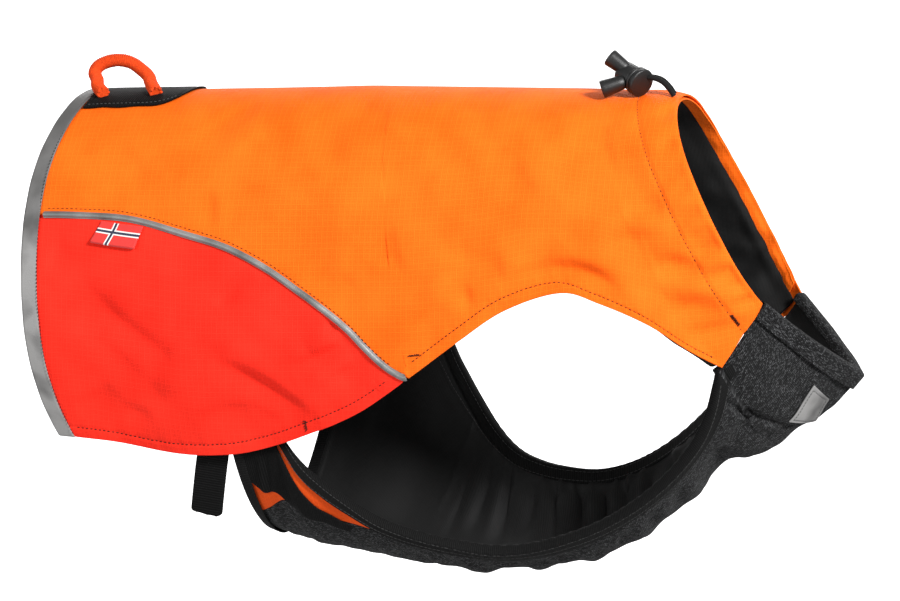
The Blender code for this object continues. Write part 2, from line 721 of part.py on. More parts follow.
def make_labels():
    # The folded flag tab hangs from the piping on the right side
    start_at, end_at = 1.48, 2.30
    share = piping_share(1.9, -1)
    stations = spaced(start_at, end_at, 6)

    def tab_lines(at):
        top = share + 3.4 / rib_length(at) + 0.012 * (at - start_at)
        return [-s for s in spaced(top, top + 15.0 / rib_length(at), 4)]
    layer("flag_label", body, stations, tab_lines, 2.2, 0.6, "flag_label")

    # The reflective patch on the right of the chest, below the collar
    def patch_lines(at):
        return spaced(-0.40, -0.18, 4)
    layer("chest_patch", lower, spaced(17.75, 18.3, 4), patch_lines, 1.8, 0.7, "grey_reflective")


def main():
    clear_scene()
    make_upper_body()
    make_neck_facing()
    make_rear_binding()
    make_piping()
    make_lower_body()
    make_lower_bindings()
    make_flap_details()
    make_strap_end()
    make_handle()
    make_drawcord()
    make_labels()


main()
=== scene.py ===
# Dog protection vest, filled out as if worn: the looks of each sewn piece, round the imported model.
# Tables and settings are millimetres. X runs to the head, -Y is the dog's right side, Z is up.
import math
import bpy
import numpy as np
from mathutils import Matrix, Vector


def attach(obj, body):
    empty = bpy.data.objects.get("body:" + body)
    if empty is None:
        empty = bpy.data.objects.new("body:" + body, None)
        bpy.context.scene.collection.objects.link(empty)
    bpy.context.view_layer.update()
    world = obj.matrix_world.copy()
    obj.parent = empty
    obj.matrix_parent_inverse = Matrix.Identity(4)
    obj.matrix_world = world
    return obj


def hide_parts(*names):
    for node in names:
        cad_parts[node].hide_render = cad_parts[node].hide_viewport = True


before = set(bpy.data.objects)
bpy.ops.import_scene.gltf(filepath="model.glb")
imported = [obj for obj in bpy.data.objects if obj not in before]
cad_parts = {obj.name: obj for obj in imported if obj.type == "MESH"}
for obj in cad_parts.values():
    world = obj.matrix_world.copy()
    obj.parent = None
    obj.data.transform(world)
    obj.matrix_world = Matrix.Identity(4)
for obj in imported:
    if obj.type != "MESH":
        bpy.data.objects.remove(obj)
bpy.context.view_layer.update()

mm = 0.001
spineRise = 4.7  # the tables count heights from the top of the back, which is this far above the origin

# Camera: the photograph's angle on the dog's right side
view = {"azimuth": 14.0, "elevation": 7.0, "distance": 2.0, "target": (0.034, 0.0, -0.1373),
        "frameWidth": 0.594, "sensor": 36.0}


def addObject(name, data):
    made = bpy.data.objects.new(name, data)
    bpy.context.scene.collection.objects.link(made)
    return made


def makeCamera():
    turn, tilt = math.radians(view["azimuth"]), math.radians(view["elevation"])
    away = Vector((math.sin(turn) * math.cos(tilt), -math.cos(turn) * math.cos(tilt), math.sin(tilt)))
    data = bpy.data.cameras.new("camera")
    data.sensor_width = view["sensor"]
    data.lens = view["sensor"] * view["distance"] / view["frameWidth"]
    camera = addObject("camera", data)
    camera.location = Vector(view["target"]) + away * view["distance"]
    camera.rotation_euler = (-away).to_track_quat("-Z", "Y").to_euler()
    bpy.context.scene.camera = camera


makeCamera()
print("camera placed")

# Ribs of the upper body from the rear edge to the neck edge, each from the spine to the lower edge
ribNames = ("spineX", "spineZ", "lowX", "lowZ", "bow", "halfWidth", "depth", "piping", "leftLift")
ribTable = np.array([
    (-214, -7, -211, -229, -19, 89, 286, 0.345, 0),
    (-188, -6, -177, -231, -17, 91, 288, 0.343, 0),
    (-149, -5, -141, -237, -14, 92, 292, 0.343, 0),
    (-114, -4, -107, -238, -11, 93, 296, 0.380, 0),
    (-79, -3, -74, -233, -8, 94, 300, 0.437, 1),
    (-48, -2, -38, -220, -6, 95, 304, 0.553, 4),
    (-20, -1, -3, -204, -4, 96, 306, 0.729, 8),
    (4, -1, 31, -180, -3, 97, 306, 1.0, 11),
    (24, -1, 64, -155, -2, 98, 304, 1.0, 13),
    (41, -1, 93, -135, -2, 98, 300, 1.0, 13),
    (57, -1, 128, -123, -2, 98, 292, 1.0, 9),
    (76, -1, 153, -129, -2, 97, 280, 1.0, 5),
    (94, -1, 184, -142, -3, 94, 260, 1.0, 2),
    (114, -1, 208, -158, -4, 89, 236, 1.0, 0),
    (134, -1, 226, -170, -5, 85, 213, 1.0, 0),
    (165, -2, 241, -147, -5, 87, 176, 1.0, 0),
    (189, -4, 251, -130, -4, 87, 148, 1.0, 0)], dtype=float)
ribs = {name: ribTable[:, i] for i, name in enumerate(ribNames)}

# Rows of the lower body from the belly's rear edge to the collar; past the seam they end on the shell
rowNames = ("rightX", "rightY", "rightZ", "lowX", "lowZ", "leftX", "leftY", "leftZ")
rowTable = np.array([
    (-97, 76, -207, -83, -298, -67, 76, -205),
    (-84, 76, -206, -72, -302, -50, 77, -198),
    (-72, 76, -206, -59, -305, -33, 79, -190),
    (-51, 71, -240, -46, -308, -14, 80, -175),
    (-36, 67, -256, -30, -310, 6, 82, -166),
    (-20, 62, -269, -11, -313, 23, 81, -196),
    (-2, 56, -282, 10, -316, 37, 78, -219),
    (20, 51, -291, 32, -319, 52, 72, -239),
    (45, 47, -297, 59, -321, 67, 67, -252),
    (72, 44, -301, 85, -318, 85, 63, -259),
    (98, 45, -298, 109, -315, 104, 60, -262),
    (125, 50, -289, 131, -310, 124, 60, -263),
    (150, 56, -277, 151, -302, 143, 62, -259),
    (174, 63, -261, 172, -288, 162, 66, -251),
    (195, 69, -242, 194, -270, 182, 71, -237),
    (213, 74, -219, 215, -247, 202, 75, -217),
    (222, 76, -197, 236, -238, 216, 77, -197),
    (226, 75, -173, 255, -228, 227, 75, -173),
    (241, 66, -150, 280, -213, 241, 66, -150),
    (251, 56, -133, 306, -182, 251, 56, -133)], dtype=float)
rows = {name: rowTable[:, i] for i, name in enumerate(rowNames)}

cloth = {"shell": 1.2, "lining": 1.0, "knit": 1.4, "loft": 1.5, "lowerLoft": 1.8, "tape": 0.9,
         "seam": 0.3, "roundness": 2.2, "bowFlatness": 2.6, "linesPerRib": 260}
hemWidth = 7.6
gaps = {"rib": 26.0, "row": 24.0}  # about the way along the cloth from one rib or row to the next
halfWidths = {"belly": 110.0, "binding": 95.0}  # about the way from the middle line to a leg hole
stack = cloth["shell"] + cloth["loft"] + cloth["lining"]
lowerStack = cloth["knit"] + cloth["lowerLoft"] + cloth["lining"]
places = {"pipingEnd": 7, "corner": 14, "neck": 16, "seamRow": 17, "collar": 19, "chestStart": 15.4,
          "wingEnd": 6.3, "wingSeamRear": 0.40, "wingSeamFront": 0.90, "collarPinch": 0.6,
          "casing": 14.93}
gathers = {"start": 6.2, "end": 15.0, "count": 11, "height": 1.6, "sagCount": 5.5, "sagHeight": 1.5,
           "insideRight": 0.76, "insideLeft": 0.86}
neckDroop = {"start": 12.5, "x": 8.0, "z": -9.0}  # the left front corner hangs lower than the right one
# Large creases of the knit: from one row and share to another, with depth and half width
knitCreases = [(15.4, -0.8, 15.4, 0.5, 3.6, 0.45), (16.5, -0.72, 17.6, -0.15, 4.2, 0.45),
               (17.9, -0.65, 18.3, -0.15, 2.5, 0.35), (16.7, 0.75, 17.6, 0.20, 4.0, 0.42)]


def smoothColumn(values, at, first, last):
    # A cubic through one column of a table, using only the rows from first to last
    at = np.clip(at, first, last)
    low = np.clip(at.astype(int), first, last - 1)
    share = at - low
    here, after = values[low], values[low + 1]
    before = np.where(low == first, 2 * here - after, values[np.maximum(low - 1, first)])
    beyond = np.where(low + 1 == last, 2 * after - here, values[np.minimum(low + 2, last)])
    riseA, riseB, gap = (after - before) / 2, (beyond - here) / 2, after - here
    return here + share * (riseA + share * (3 * gap - 2 * riseA - riseB
                                            + share * (riseA + riseB - 2 * gap)))


def ribValue(name, at):
    corner, neck = places["corner"], places["neck"]
    return np.where(at <= corner, smoothColumn(ribs[name], at, 0, corner),
                    smoothColumn(ribs[name], at, corner, neck))


def rowValue(name, at):
    seam, collar = places["seamRow"], places["collar"]
    return np.where(at <= seam, smoothColumn(rows[name], at, 0, seam),
                    smoothColumn(rows[name], at, seam, collar))


def ramp(value, start, end):
    share = np.clip((value - start) / (end - start), 0.0, 1.0)
    return share * share * (3 - 2 * share)


def ribLines(at, side):
    # Lines down one side of each rib, with the length run so far
    steps = np.linspace(0, 1, cloth["linesPerRib"]) ** 2
    lift = ribValue("leftLift", at) if side > 0 else np.zeros_like(at)
    spineX, spineZ, lowX = ribValue("spineX", at), ribValue("spineZ", at), ribValue("lowX", at)
    drop = spineZ - ribValue("lowZ", at) - lift
    depth, half, bow = ribValue("depth", at), ribValue("halfWidth", at), ribValue("bow", at)
    along = spineX[:, None] + (lowX - spineX)[:, None] * steps
    along = along + bow[:, None] * (1 - np.abs(2 * steps - 1) ** cloth["bowFlatness"])
    level = np.abs(1 - 2 * drop[:, None] * steps / depth[:, None])
    power = cloth["roundness"]
    out = half[:, None] * np.maximum(1 - level ** power, 0) ** (1 / power)
    line = np.stack([along, side * out, spineZ[:, None] - drop[:, None] * steps], axis=2)
    run = np.cumsum(np.linalg.norm(np.diff(line, axis=1), axis=2), axis=1)
    return line, np.concatenate([np.zeros((len(at), 1)), run], axis=1)


def body(at, share):
    # The upper body, with the bend above its front corner softened
    at, share = np.asarray(at, float), np.asarray(share, float)
    found = plainBody(at, share)
    near = (at > places["corner"] - 1) & (at < places["corner"] + 1)
    if near.any():
        off = np.abs(at[near] - places["corner"])
        soft = (1 - ramp(off, 0.25, 1.0))[:, None] * (1 - ramp(np.abs(share[near]), 0.80, 1.0))
        mean = sum(weight * plainBody(at[near] + step, share[near])
                   for step, weight in ((-0.8, 0.12), (-0.4, 0.22), (0, 0.32), (0.4, 0.22), (0.8, 0.12)))
        found[near] += (mean - found[near]) * soft[:, :, None]
    return found


def plainBody(at, share):
    # Points of the upper body: at counts ribs, share runs from the spine to 1 at the lower edge
    at, share = np.asarray(at, float), np.asarray(share, float)
    found = np.zeros(share.shape + (3,))
    for side in (-1, 1):
        mine = share < 0 if side < 0 else share >= 0
        if not mine.any():
            continue
        line, run = ribLines(at, side)
        for i in np.nonzero(mine.any(axis=1))[0]:
            goal = np.abs(share[i, mine[i]]) * run[i, -1]
            got = np.stack([np.interp(goal, run[i], line[i, :, k]) for k in range(3)], axis=1)
            past = np.maximum(goal - run[i, -1], 0)[:, None]
            end = (line[i, -1] - line[i, -2]) / (run[i, -1] - run[i, -2])
            found[i, mine[i]] = got + past * end
    if (at > neckDroop["start"]).any():
        grown = ramp(at, neckDroop["start"], places["neck"])[:, None] * ramp(share, 0.35, 1.0)
        found[:, :, 0] += neckDroop["x"] * grown
        found[:, :, 2] += neckDroop["z"] * grown
    return found


def ribLength(at, side=-1):
    return ribLines(np.atleast_1d(np.asarray(at, float)), side)[1][:, -1]


def pipingShare(at, side):
    # Where the piping crosses each rib, whose table gives it as a part of the drop
    at = np.atleast_1d(np.asarray(at, float))
    run = ribLines(at, side)[1]
    steps = np.linspace(0, 1, cloth["linesPerRib"]) ** 2
    goal = ribValue("piping", at)
    return np.array([np.interp(goal[i], steps, run[i]) / run[i, -1] for i in range(len(at))])


def fromLine(at, share, crease, stretch):
    # How far along a crease's straight line a place lies, and its two distances from that line
    rowA, sideA, rowB, sideB = crease[:4]
    ax, ay, bx, by = rowA, sideA * stretch, rowB, sideB * stretch
    px, py = at[:, None] + 0 * share, share * stretch
    run = ((px - ax) * (bx - ax) + (py - ay) * (by - ay)) / ((bx - ax) ** 2 + (by - ay) ** 2)
    run = np.clip(run, 0, 1)
    return run, px - ax - run * (bx - ax), py - ay - run * (by - ay)


def creaseDepth(at, share):
    total = np.zeros(share.shape)
    for crease in knitCreases:
        depth, half = crease[4:]
        offRow, offSide = fromLine(at, share, crease, 2)[1:]
        total += depth * np.exp(-(np.hypot(offRow, offSide) / half) ** 2)
    return total


def gatherHeight(at, share):
    # Waves stand highest just inside the leg bindings and fade towards the middle of the belly
    g = gathers
    turn = ((at - g["start"]) / (g["end"] - g["start"]))[:, None]
    fade = ramp(turn, 0, 0.08) * ramp(1 - turn, 0, 0.08)
    inside = np.where(share < 0, g["insideRight"], g["insideLeft"])
    nearEdge = ramp(inside + 0.01 - np.abs(share), 0, 0.18)
    nearEdge = nearEdge * (0.25 + 0.75 * ramp(np.abs(share), 0.2, 0.6))
    nearLow = ramp(0.75 - np.abs(share), 0, 0.5)
    fine = g["height"] * nearEdge * np.sin(2 * math.pi * g["count"] * turn)
    broad = g["sagHeight"] * nearLow * np.sin(2 * math.pi * g["sagCount"] * turn + 0.8)
    return fade * (fine + broad)


seamTables = {}


def seamEnds(sign):
    # Where the front rows end, along the seam under the shell's edge
    if sign not in seamTables:
        at = np.linspace(places["seamRow"], places["collar"], 121)
        rib = places["corner"] + (at - places["seamRow"])
        past = sign * (1 + (cloth["seam"] + 0.5) / ribLength(rib))[:, None]
        edge = np.full((len(rib), 1), float(sign))
        seamTables[sign] = (at, (body(rib, past) - cloth["seam"] * normals(body, rib, edge))[:, 0])
    return seamTables[sign]


def plainLower(at, share):
    # Points of the lower body without its waves: share runs from -1 on the right to 1 on the left
    at, share = np.asarray(at, float), np.asarray(share, float)
    ends = {}
    for name, sign in (("right", -1), ("left", 1)):
        end = np.stack([rowValue(name + "X", at), sign * rowValue(name + "Y", at),
                        rowValue(name + "Z", at)], axis=1)
        seamed = (at > places["seamRow"])[:, None]
        if seamed.any():
            table = seamEnds(sign)
            joined = np.stack([np.interp(at, table[0], table[1][:, k]) for k in range(3)], axis=1)
            end = np.where(seamed, joined, end)
        ends[sign] = end
    end = np.where((share < 0)[:, :, None], ends[-1][:, None, :], ends[1][:, None, :])
    lowX, lowZ = rowValue("lowX", at)[:, None], rowValue("lowZ", at)[:, None]
    turn = np.abs(share) * math.pi / 2
    # A low side is a shallow bowl, a high one is round, and the collar is pinched at the front
    shallow = 1 - ramp((end[:, :, 2] - lowZ) / np.abs(end[:, :, 1]), 0.35, 1.1)
    pinch = places["collarPinch"] * ramp(at, places["seamRow"], places["collar"])[:, None]
    rise = (1 - shallow) * (1 - np.cos(turn)) + shallow * share * share
    out = (1 - shallow) * np.sin(turn) + shallow * np.abs(share)
    rise = (1 - pinch) * rise + pinch * np.abs(share)
    out = (1 - pinch) * out + pinch * np.abs(share)
    return np.stack([lowX + (end[:, :, 0] - lowX) * rise, end[:, :, 1] * out,
                     lowZ + (end[:, :, 2] - lowZ) * rise], axis=2)


def lower(at, share):
    at, share = np.asarray(at, float), np.asarray(share, float)
    flat = np.where(share < 0, 1 - gathers["insideRight"], 1 - gathers["insideLeft"])
    height = gatherHeight(at, share) - creaseDepth(at, share) * ramp(1 - np.abs(share) - flat, 0.0, 0.15)
    return plainLower(at, share) + height[:, :, None] * normals(plainLower, at, share)


def slopes(surface, at, share):
    last = places["neck"] if surface is body else places["collar"]
    ahead, behind = np.minimum(at + 0.02, last), np.maximum(at - 0.02, 0)
    high, low = np.minimum(share + 0.01, 1.0), np.maximum(share - 0.01, -1.0)
    along = (surface(ahead, share) - surface(behind, share)) / (ahead - behind)[:, None, None]
    across = (surface(at, high) - surface(at, low)) / (high - low)[:, :, None]
    return along, across


def normals(surface, at, share):
    # Unit vectors that point out of the vest
    at, share = np.asarray(at, float), np.asarray(share, float)
    along, across = slopes(surface, at, np.clip(share, -0.999, 0.999))
    out = np.cross(along, across)
    out = out / np.linalg.norm(out, axis=2, keepdims=True)
    point = surface(at, share)
    middle = np.zeros_like(point)
    middle[:, :, 0] = point[:, :, 0]
    middle[:, :, 2] = -120.0 if surface is body else -190.0
    if surface is not body:
        middle[:, :, 0] -= np.where(at > places["seamRow"], 60.0, 0.0)[:, None]
    way = np.sign(np.sum(out * (point - middle), axis=2, keepdims=True))
    return out * way


# Meshes

def toMetres(points):
    return (np.asarray(points, float).reshape(-1, 3) + np.array([0, 0, spineRise])) * mm


def addMesh(name, points, faces, finish, uv=None, smoothAngle=50):
    mesh = bpy.data.meshes.new(name)
    mesh.from_pydata([tuple(p) for p in toMetres(points)], [], faces)
    if uv is not None:
        layer = mesh.uv_layers.new(name="cloth")
        corner = np.empty(len(mesh.loops), dtype=np.int32)
        mesh.loops.foreach_get("vertex_index", corner)
        layer.data.foreach_set("uv", (np.asarray(uv, float) * mm)[corner].astype(np.float32).ravel())
    mesh.materials.append(finish)
    mesh.calc_loop_triangles()
    tris = np.empty(len(mesh.loop_triangles) * 3, dtype=np.int32)
    mesh.loop_triangles.foreach_get("vertices", tris)
    spots = np.array([v.co for v in mesh.vertices])[tris].reshape(-1, 3, 3)
    volume = np.sum(spots[:, 0] * np.cross(spots[:, 1], spots[:, 2]))
    if volume < 0:
        mesh.flip_normals()
    mesh.shade_smooth()
    mesh.set_sharp_from_angle(angle=math.radians(smoothAngle))
    return addObject(name, mesh)


def gridFaces(rowCount, colCount, start=0, turned=False):
    a = (np.arange(rowCount - 1)[:, None] * colCount + np.arange(colCount - 1)[None, :]).ravel() + start
    quads = np.stack([a, a + colCount, a + colCount + 1, a + 1], axis=1)
    return (quads[:, ::-1] if turned else quads).tolist()


def rim(rowCount, colCount):
    # Indices round the border of a grid, and of the neighbour just inside each of them
    r, c = rowCount - 1, colCount - 1
    border = [(0, j) for j in range(c)] + [(i, c) for i in range(r)]
    border += [(r, j) for j in range(c, 0, -1)] + [(i, 0) for i in range(r, 0, -1)]
    inside = [(min(max(i, 1), r - 1), min(max(j, 1), c - 1)) for i, j in border]
    return ([i * colCount + j for i, j in border], [i * colCount + j for i, j in inside])


def clothWall(name, outer, inner, finish, uv, bulge=0.5):
    # A closed wall between two grids, with a rounded edge all round
    rowCount, colCount = outer.shape[:2]
    count = rowCount * colCount
    border, inside = rim(rowCount, colCount)
    flatOuter, flatInner, flatUv = outer.reshape(-1, 3), inner.reshape(-1, 3), uv.reshape(-1, 2)
    top, base = flatOuter[border], flatInner[border]
    away = top - flatOuter[inside]
    thick = top - base
    away -= thick * (np.sum(away * thick, axis=1) / np.maximum(np.sum(thick * thick, axis=1), 1e-9))[:, None]
    away /= np.maximum(np.linalg.norm(away, axis=1, keepdims=True), 1e-9)
    size = np.linalg.norm(thick, axis=1, keepdims=True) / 2
    rings = []
    for turn in (math.pi / 4, math.pi / 2, 3 * math.pi / 4):
        rings.append((top + base) / 2 + thick / 2 * math.cos(turn) + away * size * bulge * math.sin(turn))
    points = np.concatenate([flatOuter, flatInner] + rings)
    uvs = np.concatenate([flatUv, flatUv] + [flatUv[border]] * len(rings))
    faces = gridFaces(rowCount, colCount) + gridFaces(rowCount, colCount, count, True)
    n = len(border)
    loops = [border] + [list(range(2 * count + k * n, 2 * count + (k + 1) * n)) for k in range(len(rings))]
    loops.append([b + count for b in border])
    for one, two in zip(loops[:-1], loops[1:]):
        for k in range(n):
            m = (k + 1) % n
            faces.append((one[k], one[m], two[m], two[k]))
    return addMesh(name, points, faces, finish, uvs)


def gridUv(points):
    # Real distances in both directions, so that a weave keeps its size
    alongRun = np.cumsum(np.linalg.norm(np.diff(points, axis=0), axis=2), axis=0)
    alongRun = np.concatenate([np.zeros((1, points.shape[1])), alongRun])
    acrossRun = np.cumsum(np.linalg.norm(np.diff(points, axis=1), axis=2), axis=1)
    acrossRun = np.concatenate([np.zeros((points.shape[0], 1)), acrossRun], axis=1)
    middle = points.shape[1] // 2
    alongRun = np.repeat(alongRun[:, middle:middle + 1], points.shape[1], axis=1)
    return np.stack([alongRun, acrossRun - acrossRun[:, middle:middle + 1]], axis=2)


def straightUv(points):
    # A cut with its grain along the body
    uv = gridUv(points)
    uv[:, :, 0] = points[:, :, 0]
    return uv


def clothLayer(name, surface, stations, sharesAt, high, low, finish, relief=None, inside=None):
    # A wall between two heights over a surface. relief lifts both faces, inside the inner one only.
    stations = np.asarray(stations, float)
    shares = np.array([sharesAt(at) for at in stations])
    points, out = surface(stations, shares), normals(surface, stations, shares)
    lift = relief(points, stations, shares) if relief else np.zeros(shares.shape)
    outer = points + out * (high + lift)[:, :, None]
    under = low + lift + (inside(points, stations, shares) if inside else 0)
    inner = points + out * under[:, :, None]
    return clothWall(name, outer, inner, finish, (straightUv if surface is body else gridUv)(points))


def spaced(start, end, steps):
    return [start + (end - start) * i / steps for i in range(steps + 1)]


def bothSides(sharesOfSide):
    def shares(at):
        right, left = sharesOfSide(at, -1), sharesOfSide(at, 1)
        return [-s for s in reversed(right)] + list(left[1:])
    return shares


# Materials

def linear(code):
    parts = [int(code[i:i + 2], 16) / 255 for i in (1, 3, 5)]
    return tuple(c / 12.92 if c <= 0.04045 else ((c + 0.055) / 1.055) ** 2.4 for c in parts) + (1.0,)


def addNode(tree, kind, links=(), **settings):
    # links are pairs of this node's input and the socket that feeds it, or a plain value for it
    node = tree.nodes.new(kind)
    for key, value in settings.items():
        setattr(node, key, value)
    for key, value in links:
        if isinstance(value, bpy.types.NodeSocket):
            tree.links.new(value, node.inputs[key])
        else:
            node.inputs[key].default_value = value
    return node


def newMaterial(name, roughness, **fixed):
    made = bpy.data.materials.new(name)
    made.use_nodes = True
    shader = made.node_tree.nodes["Principled BSDF"]
    shader.inputs["Roughness"].default_value = roughness
    for key, value in fixed.items():
        shader.inputs[key.replace("_", " ")].default_value = value
    return made, made.node_tree, shader


def coords(tree, kind="UV"):
    return addNode(tree, "ShaderNodeTexCoord").outputs[kind]


def setColour(tree, shader, share, code, otherCode):
    # Base colour that goes from one tone to the other as share grows
    tree.links.new(colourMix(tree, share, linear(code), linear(otherCode)), shader.inputs["Base Color"])


def threadWave(tree, source, axis, pitch):
    # A smooth wave of threads, pitch in metres, 0 to 1
    split = addNode(tree, "ShaderNodeSeparateXYZ", [(0, source)])
    turn = addNode(tree, "ShaderNodeMath", [(0, split.outputs[axis]), (1, 2 * math.pi / pitch), (2, 0.0)],
                   operation="MULTIPLY_ADD")
    wave = addNode(tree, "ShaderNodeMath", [(0, turn.outputs[0])], operation="SINE")
    return addNode(tree, "ShaderNodeMath", [(0, wave.outputs[0]), (1, 0.5), (2, 0.5)],
                   operation="MULTIPLY_ADD").outputs[0]


def combine(tree, operation, a, b):
    return addNode(tree, "ShaderNodeMath", [(0, a), (1, b)], operation=operation).outputs[0]


def colourMix(tree, share, colourA, colourB):
    mix = addNode(tree, "ShaderNodeMix", data_type="RGBA")
    for socket, value in ((mix.inputs[0], share), (mix.inputs[6], colourA), (mix.inputs[7], colourB)):
        if isinstance(value, bpy.types.NodeSocket):
            tree.links.new(value, socket)
        else:
            socket.default_value = value
    return mix.outputs[2]


def noise(tree, source, scale, detail=3.0, roughness=0.55):
    return addNode(tree, "ShaderNodeTexNoise", [("Vector", source), ("Scale", scale), ("Detail", detail),
                                                ("Roughness", roughness)]).outputs[0]


def finishBump(tree, shader, height, distance):
    bump = addNode(tree, "ShaderNodeBump", [("Height", height), ("Distance", distance), ("Strength", 1.0)])
    tree.links.new(bump.outputs[0], shader.inputs["Normal"])


def wovenNylon(name, code, shadeCode, threads, grid, roughness, sheen):
    # Coated ripstop nylon: a soft satin sheet with a fine weave and a small raised grid. The threads are
    # drawn coarser than real ones so that they show.
    made, tree, shader = newMaterial(name, roughness, Sheen_Weight=sheen, Sheen_Roughness=0.4,
                                     Specular_IOR_Level=0.08)
    uv, spot = coords(tree), coords(tree, "Object")
    warp, weft = threadWave(tree, uv, 0, threads), threadWave(tree, uv, 1, threads)
    weave = combine(tree, "MULTIPLY", warp, weft)
    ripA = combine(tree, "POWER", threadWave(tree, uv, 0, grid), 14.0)
    ripB = combine(tree, "POWER", threadWave(tree, uv, 1, grid), 14.0)
    rip = combine(tree, "MAXIMUM", ripA, ripB)
    cloud = noise(tree, spot, 28.0, 4.0)
    grain = noise(tree, uv, 1900.0, 1.0)
    tone = combine(tree, "ADD", combine(tree, "MULTIPLY", cloud, 0.55),
                   combine(tree, "MULTIPLY", grain, 0.45))
    tone = combine(tree, "ADD", tone, combine(tree, "MULTIPLY", weave, -0.22))
    tone = combine(tree, "ADD", tone, combine(tree, "MULTIPLY", rip, 0.10))
    share = addNode(tree, "ShaderNodeMapRange", [("Value", tone), ("From Min", 0.25), ("From Max", 0.62)])
    setColour(tree, shader, share.outputs[0], shadeCode, code)
    height = combine(tree, "ADD", weave, combine(tree, "MULTIPLY", rip, 0.8))
    finishBump(tree, shader, height, 0.00010)
    return made


def plainWoven(name, code, lightCode, threads, roughness, sheen):
    # Matt woven polyester: fine threads that catch a little light
    made, tree, shader = newMaterial(name, roughness, Sheen_Weight=sheen, Sheen_Roughness=0.5,
                                     Specular_IOR_Level=0.2)
    uv = coords(tree)
    warp, weft = threadWave(tree, uv, 0, threads), threadWave(tree, uv, 1, threads)
    weave = combine(tree, "MULTIPLY", warp, weft)
    cloud = noise(tree, uv, 35.0, 4.0)
    setColour(tree, shader, combine(tree, "MULTIPLY", weave, cloud), code, lightCode)
    finishBump(tree, shader, weave, 0.00012)
    return made


def ribbedTape(name, code, lightCode, pitch, roughness):
    # Grosgrain tape: matt, with fine ribs across its width
    made, tree, shader = newMaterial(name, roughness, Sheen_Weight=0.01, Sheen_Roughness=0.5,
                                     Specular_IOR_Level=0.06)
    uv = coords(tree)
    ribbing = threadWave(tree, uv, 0, pitch)
    threads = threadWave(tree, uv, 1, pitch * 0.8)
    grain = noise(tree, uv, 900.0, 2.0)
    height = combine(tree, "ADD", ribbing, combine(tree, "MULTIPLY", threads, 0.35))
    setColour(tree, shader, combine(tree, "MULTIPLY", ribbing, grain), code, lightCode)
    finishBump(tree, shader, height, 0.00018)
    return made


def melangeKnit(name, darkCode, midCode, lightCode, wale, course):
    # Melange jersey: rows of small loops whose yarn mixes black and pale grey fibres, matt and hairy
    made, tree, shader = newMaterial(name, 0.92, Sheen_Weight=0.04, Sheen_Roughness=0.6,
                                     Specular_IOR_Level=0.1)
    uv = coords(tree)
    split = addNode(tree, "ShaderNodeSeparateXYZ", [(0, uv)])
    column = combine(tree, "DIVIDE", split.outputs[1], wale)
    part = addNode(tree, "ShaderNodeMath", [(0, column)], operation="FRACT").outputs[0]
    legs = addNode(tree, "ShaderNodeMath", [(0, combine(tree, "SUBTRACT", part, 0.5))],
                   operation="ABSOLUTE").outputs[0]
    line = combine(tree, "ADD", combine(tree, "DIVIDE", split.outputs[0], course),
                   combine(tree, "MULTIPLY", legs, 1.1))
    turn = combine(tree, "MULTIPLY", line, 2 * math.pi)
    loop = addNode(tree, "ShaderNodeMath", [(0, turn)], operation="SINE").outputs[0]
    loop = addNode(tree, "ShaderNodeMath", [(0, loop), (1, 0.5), (2, 0.5)],
                   operation="MULTIPLY_ADD").outputs[0]
    legRound = addNode(tree, "ShaderNodeMath", [(0, combine(tree, "MULTIPLY", legs, 2 * math.pi * 2))],
                       operation="COSINE").outputs[0]
    legRound = addNode(tree, "ShaderNodeMath", [(0, legRound), (1, -0.5), (2, 0.5)],
                       operation="MULTIPLY_ADD").outputs[0]
    height = combine(tree, "MULTIPLY", loop, legRound)
    # Each stitch takes its own fibre tone
    stitchU = addNode(tree, "ShaderNodeMath", [(0, line)], operation="FLOOR").outputs[0]
    stitchV = addNode(tree, "ShaderNodeMath", [(0, combine(tree, "MULTIPLY", column, 2.0))],
                      operation="FLOOR").outputs[0]
    cell = addNode(tree, "ShaderNodeCombineXYZ", [(0, stitchU), (1, stitchV)]).outputs[0]
    pick = addNode(tree, "ShaderNodeTexWhiteNoise", [("Vector", cell)], noise_dimensions="3D").outputs[0]
    fibre = noise(tree, uv, 1300.0, 2.0, 0.7)
    pale = combine(tree, "MULTIPLY", combine(tree, "POWER", pick, 3.0), fibre)
    pale = combine(tree, "MULTIPLY", pale, combine(tree, "ADD", height, 0.15))
    pale = combine(tree, "MULTIPLY", pale, 1.7)
    base = colourMix(tree, height, linear(darkCode), linear(midCode))
    clamped = addNode(tree, "ShaderNodeClamp", [("Value", pale)]).outputs[0]
    tree.links.new(colourMix(tree, clamped, base, linear(lightCode)), shader.inputs["Base Color"])
    finishBump(tree, shader, height, 0.0006)
    return made


def beadedTape(name, code, shadeCode, roughness, metallic):
    # Retro-reflective tape: tiny glass beads on a grey ground, satin, with a cloudy tone and painted shade
    # that darkens it towards the spine
    made, tree, shader = newMaterial(name, roughness, Metallic=metallic, Specular_IOR_Level=0.5)
    uv = coords(tree)
    beads = addNode(tree, "ShaderNodeTexVoronoi", [("Vector", uv), ("Scale", 1500.0)]).outputs[0]
    cloud = combine(tree, "ADD", noise(tree, uv, 16.0, 2.0, 0.4), noise(tree, uv, 55.0, 2.0, 0.4))
    share = addNode(tree, "ShaderNodeMapRange", [("Value", cloud), ("From Min", 0.75), ("From Max", 1.15)])
    # Painted shade: the colour darkens with height towards the spine, standing in for the shade on the
    # upward-facing tape
    high = addNode(tree, "ShaderNodeSeparateXYZ", [(0, coords(tree, "Object"))]).outputs[2]
    paintedSpineShade = addNode(tree, "ShaderNodeMapRange", [("Value", high), ("From Min", -0.11), ("From Max", -0.01),
                                               ("To Min", 1.0), ("To Max", 0.15)])  # painted shade: darker towards the spine, where the tape faces up
    setColour(tree, shader, combine(tree, "MULTIPLY", share.outputs[0], paintedSpineShade.outputs[0]), shadeCode, code)
    finishBump(tree, shader, combine(tree, "ADD", beads, combine(tree, "MULTIPLY", cloud, 2.0)), 0.00006)
    return made


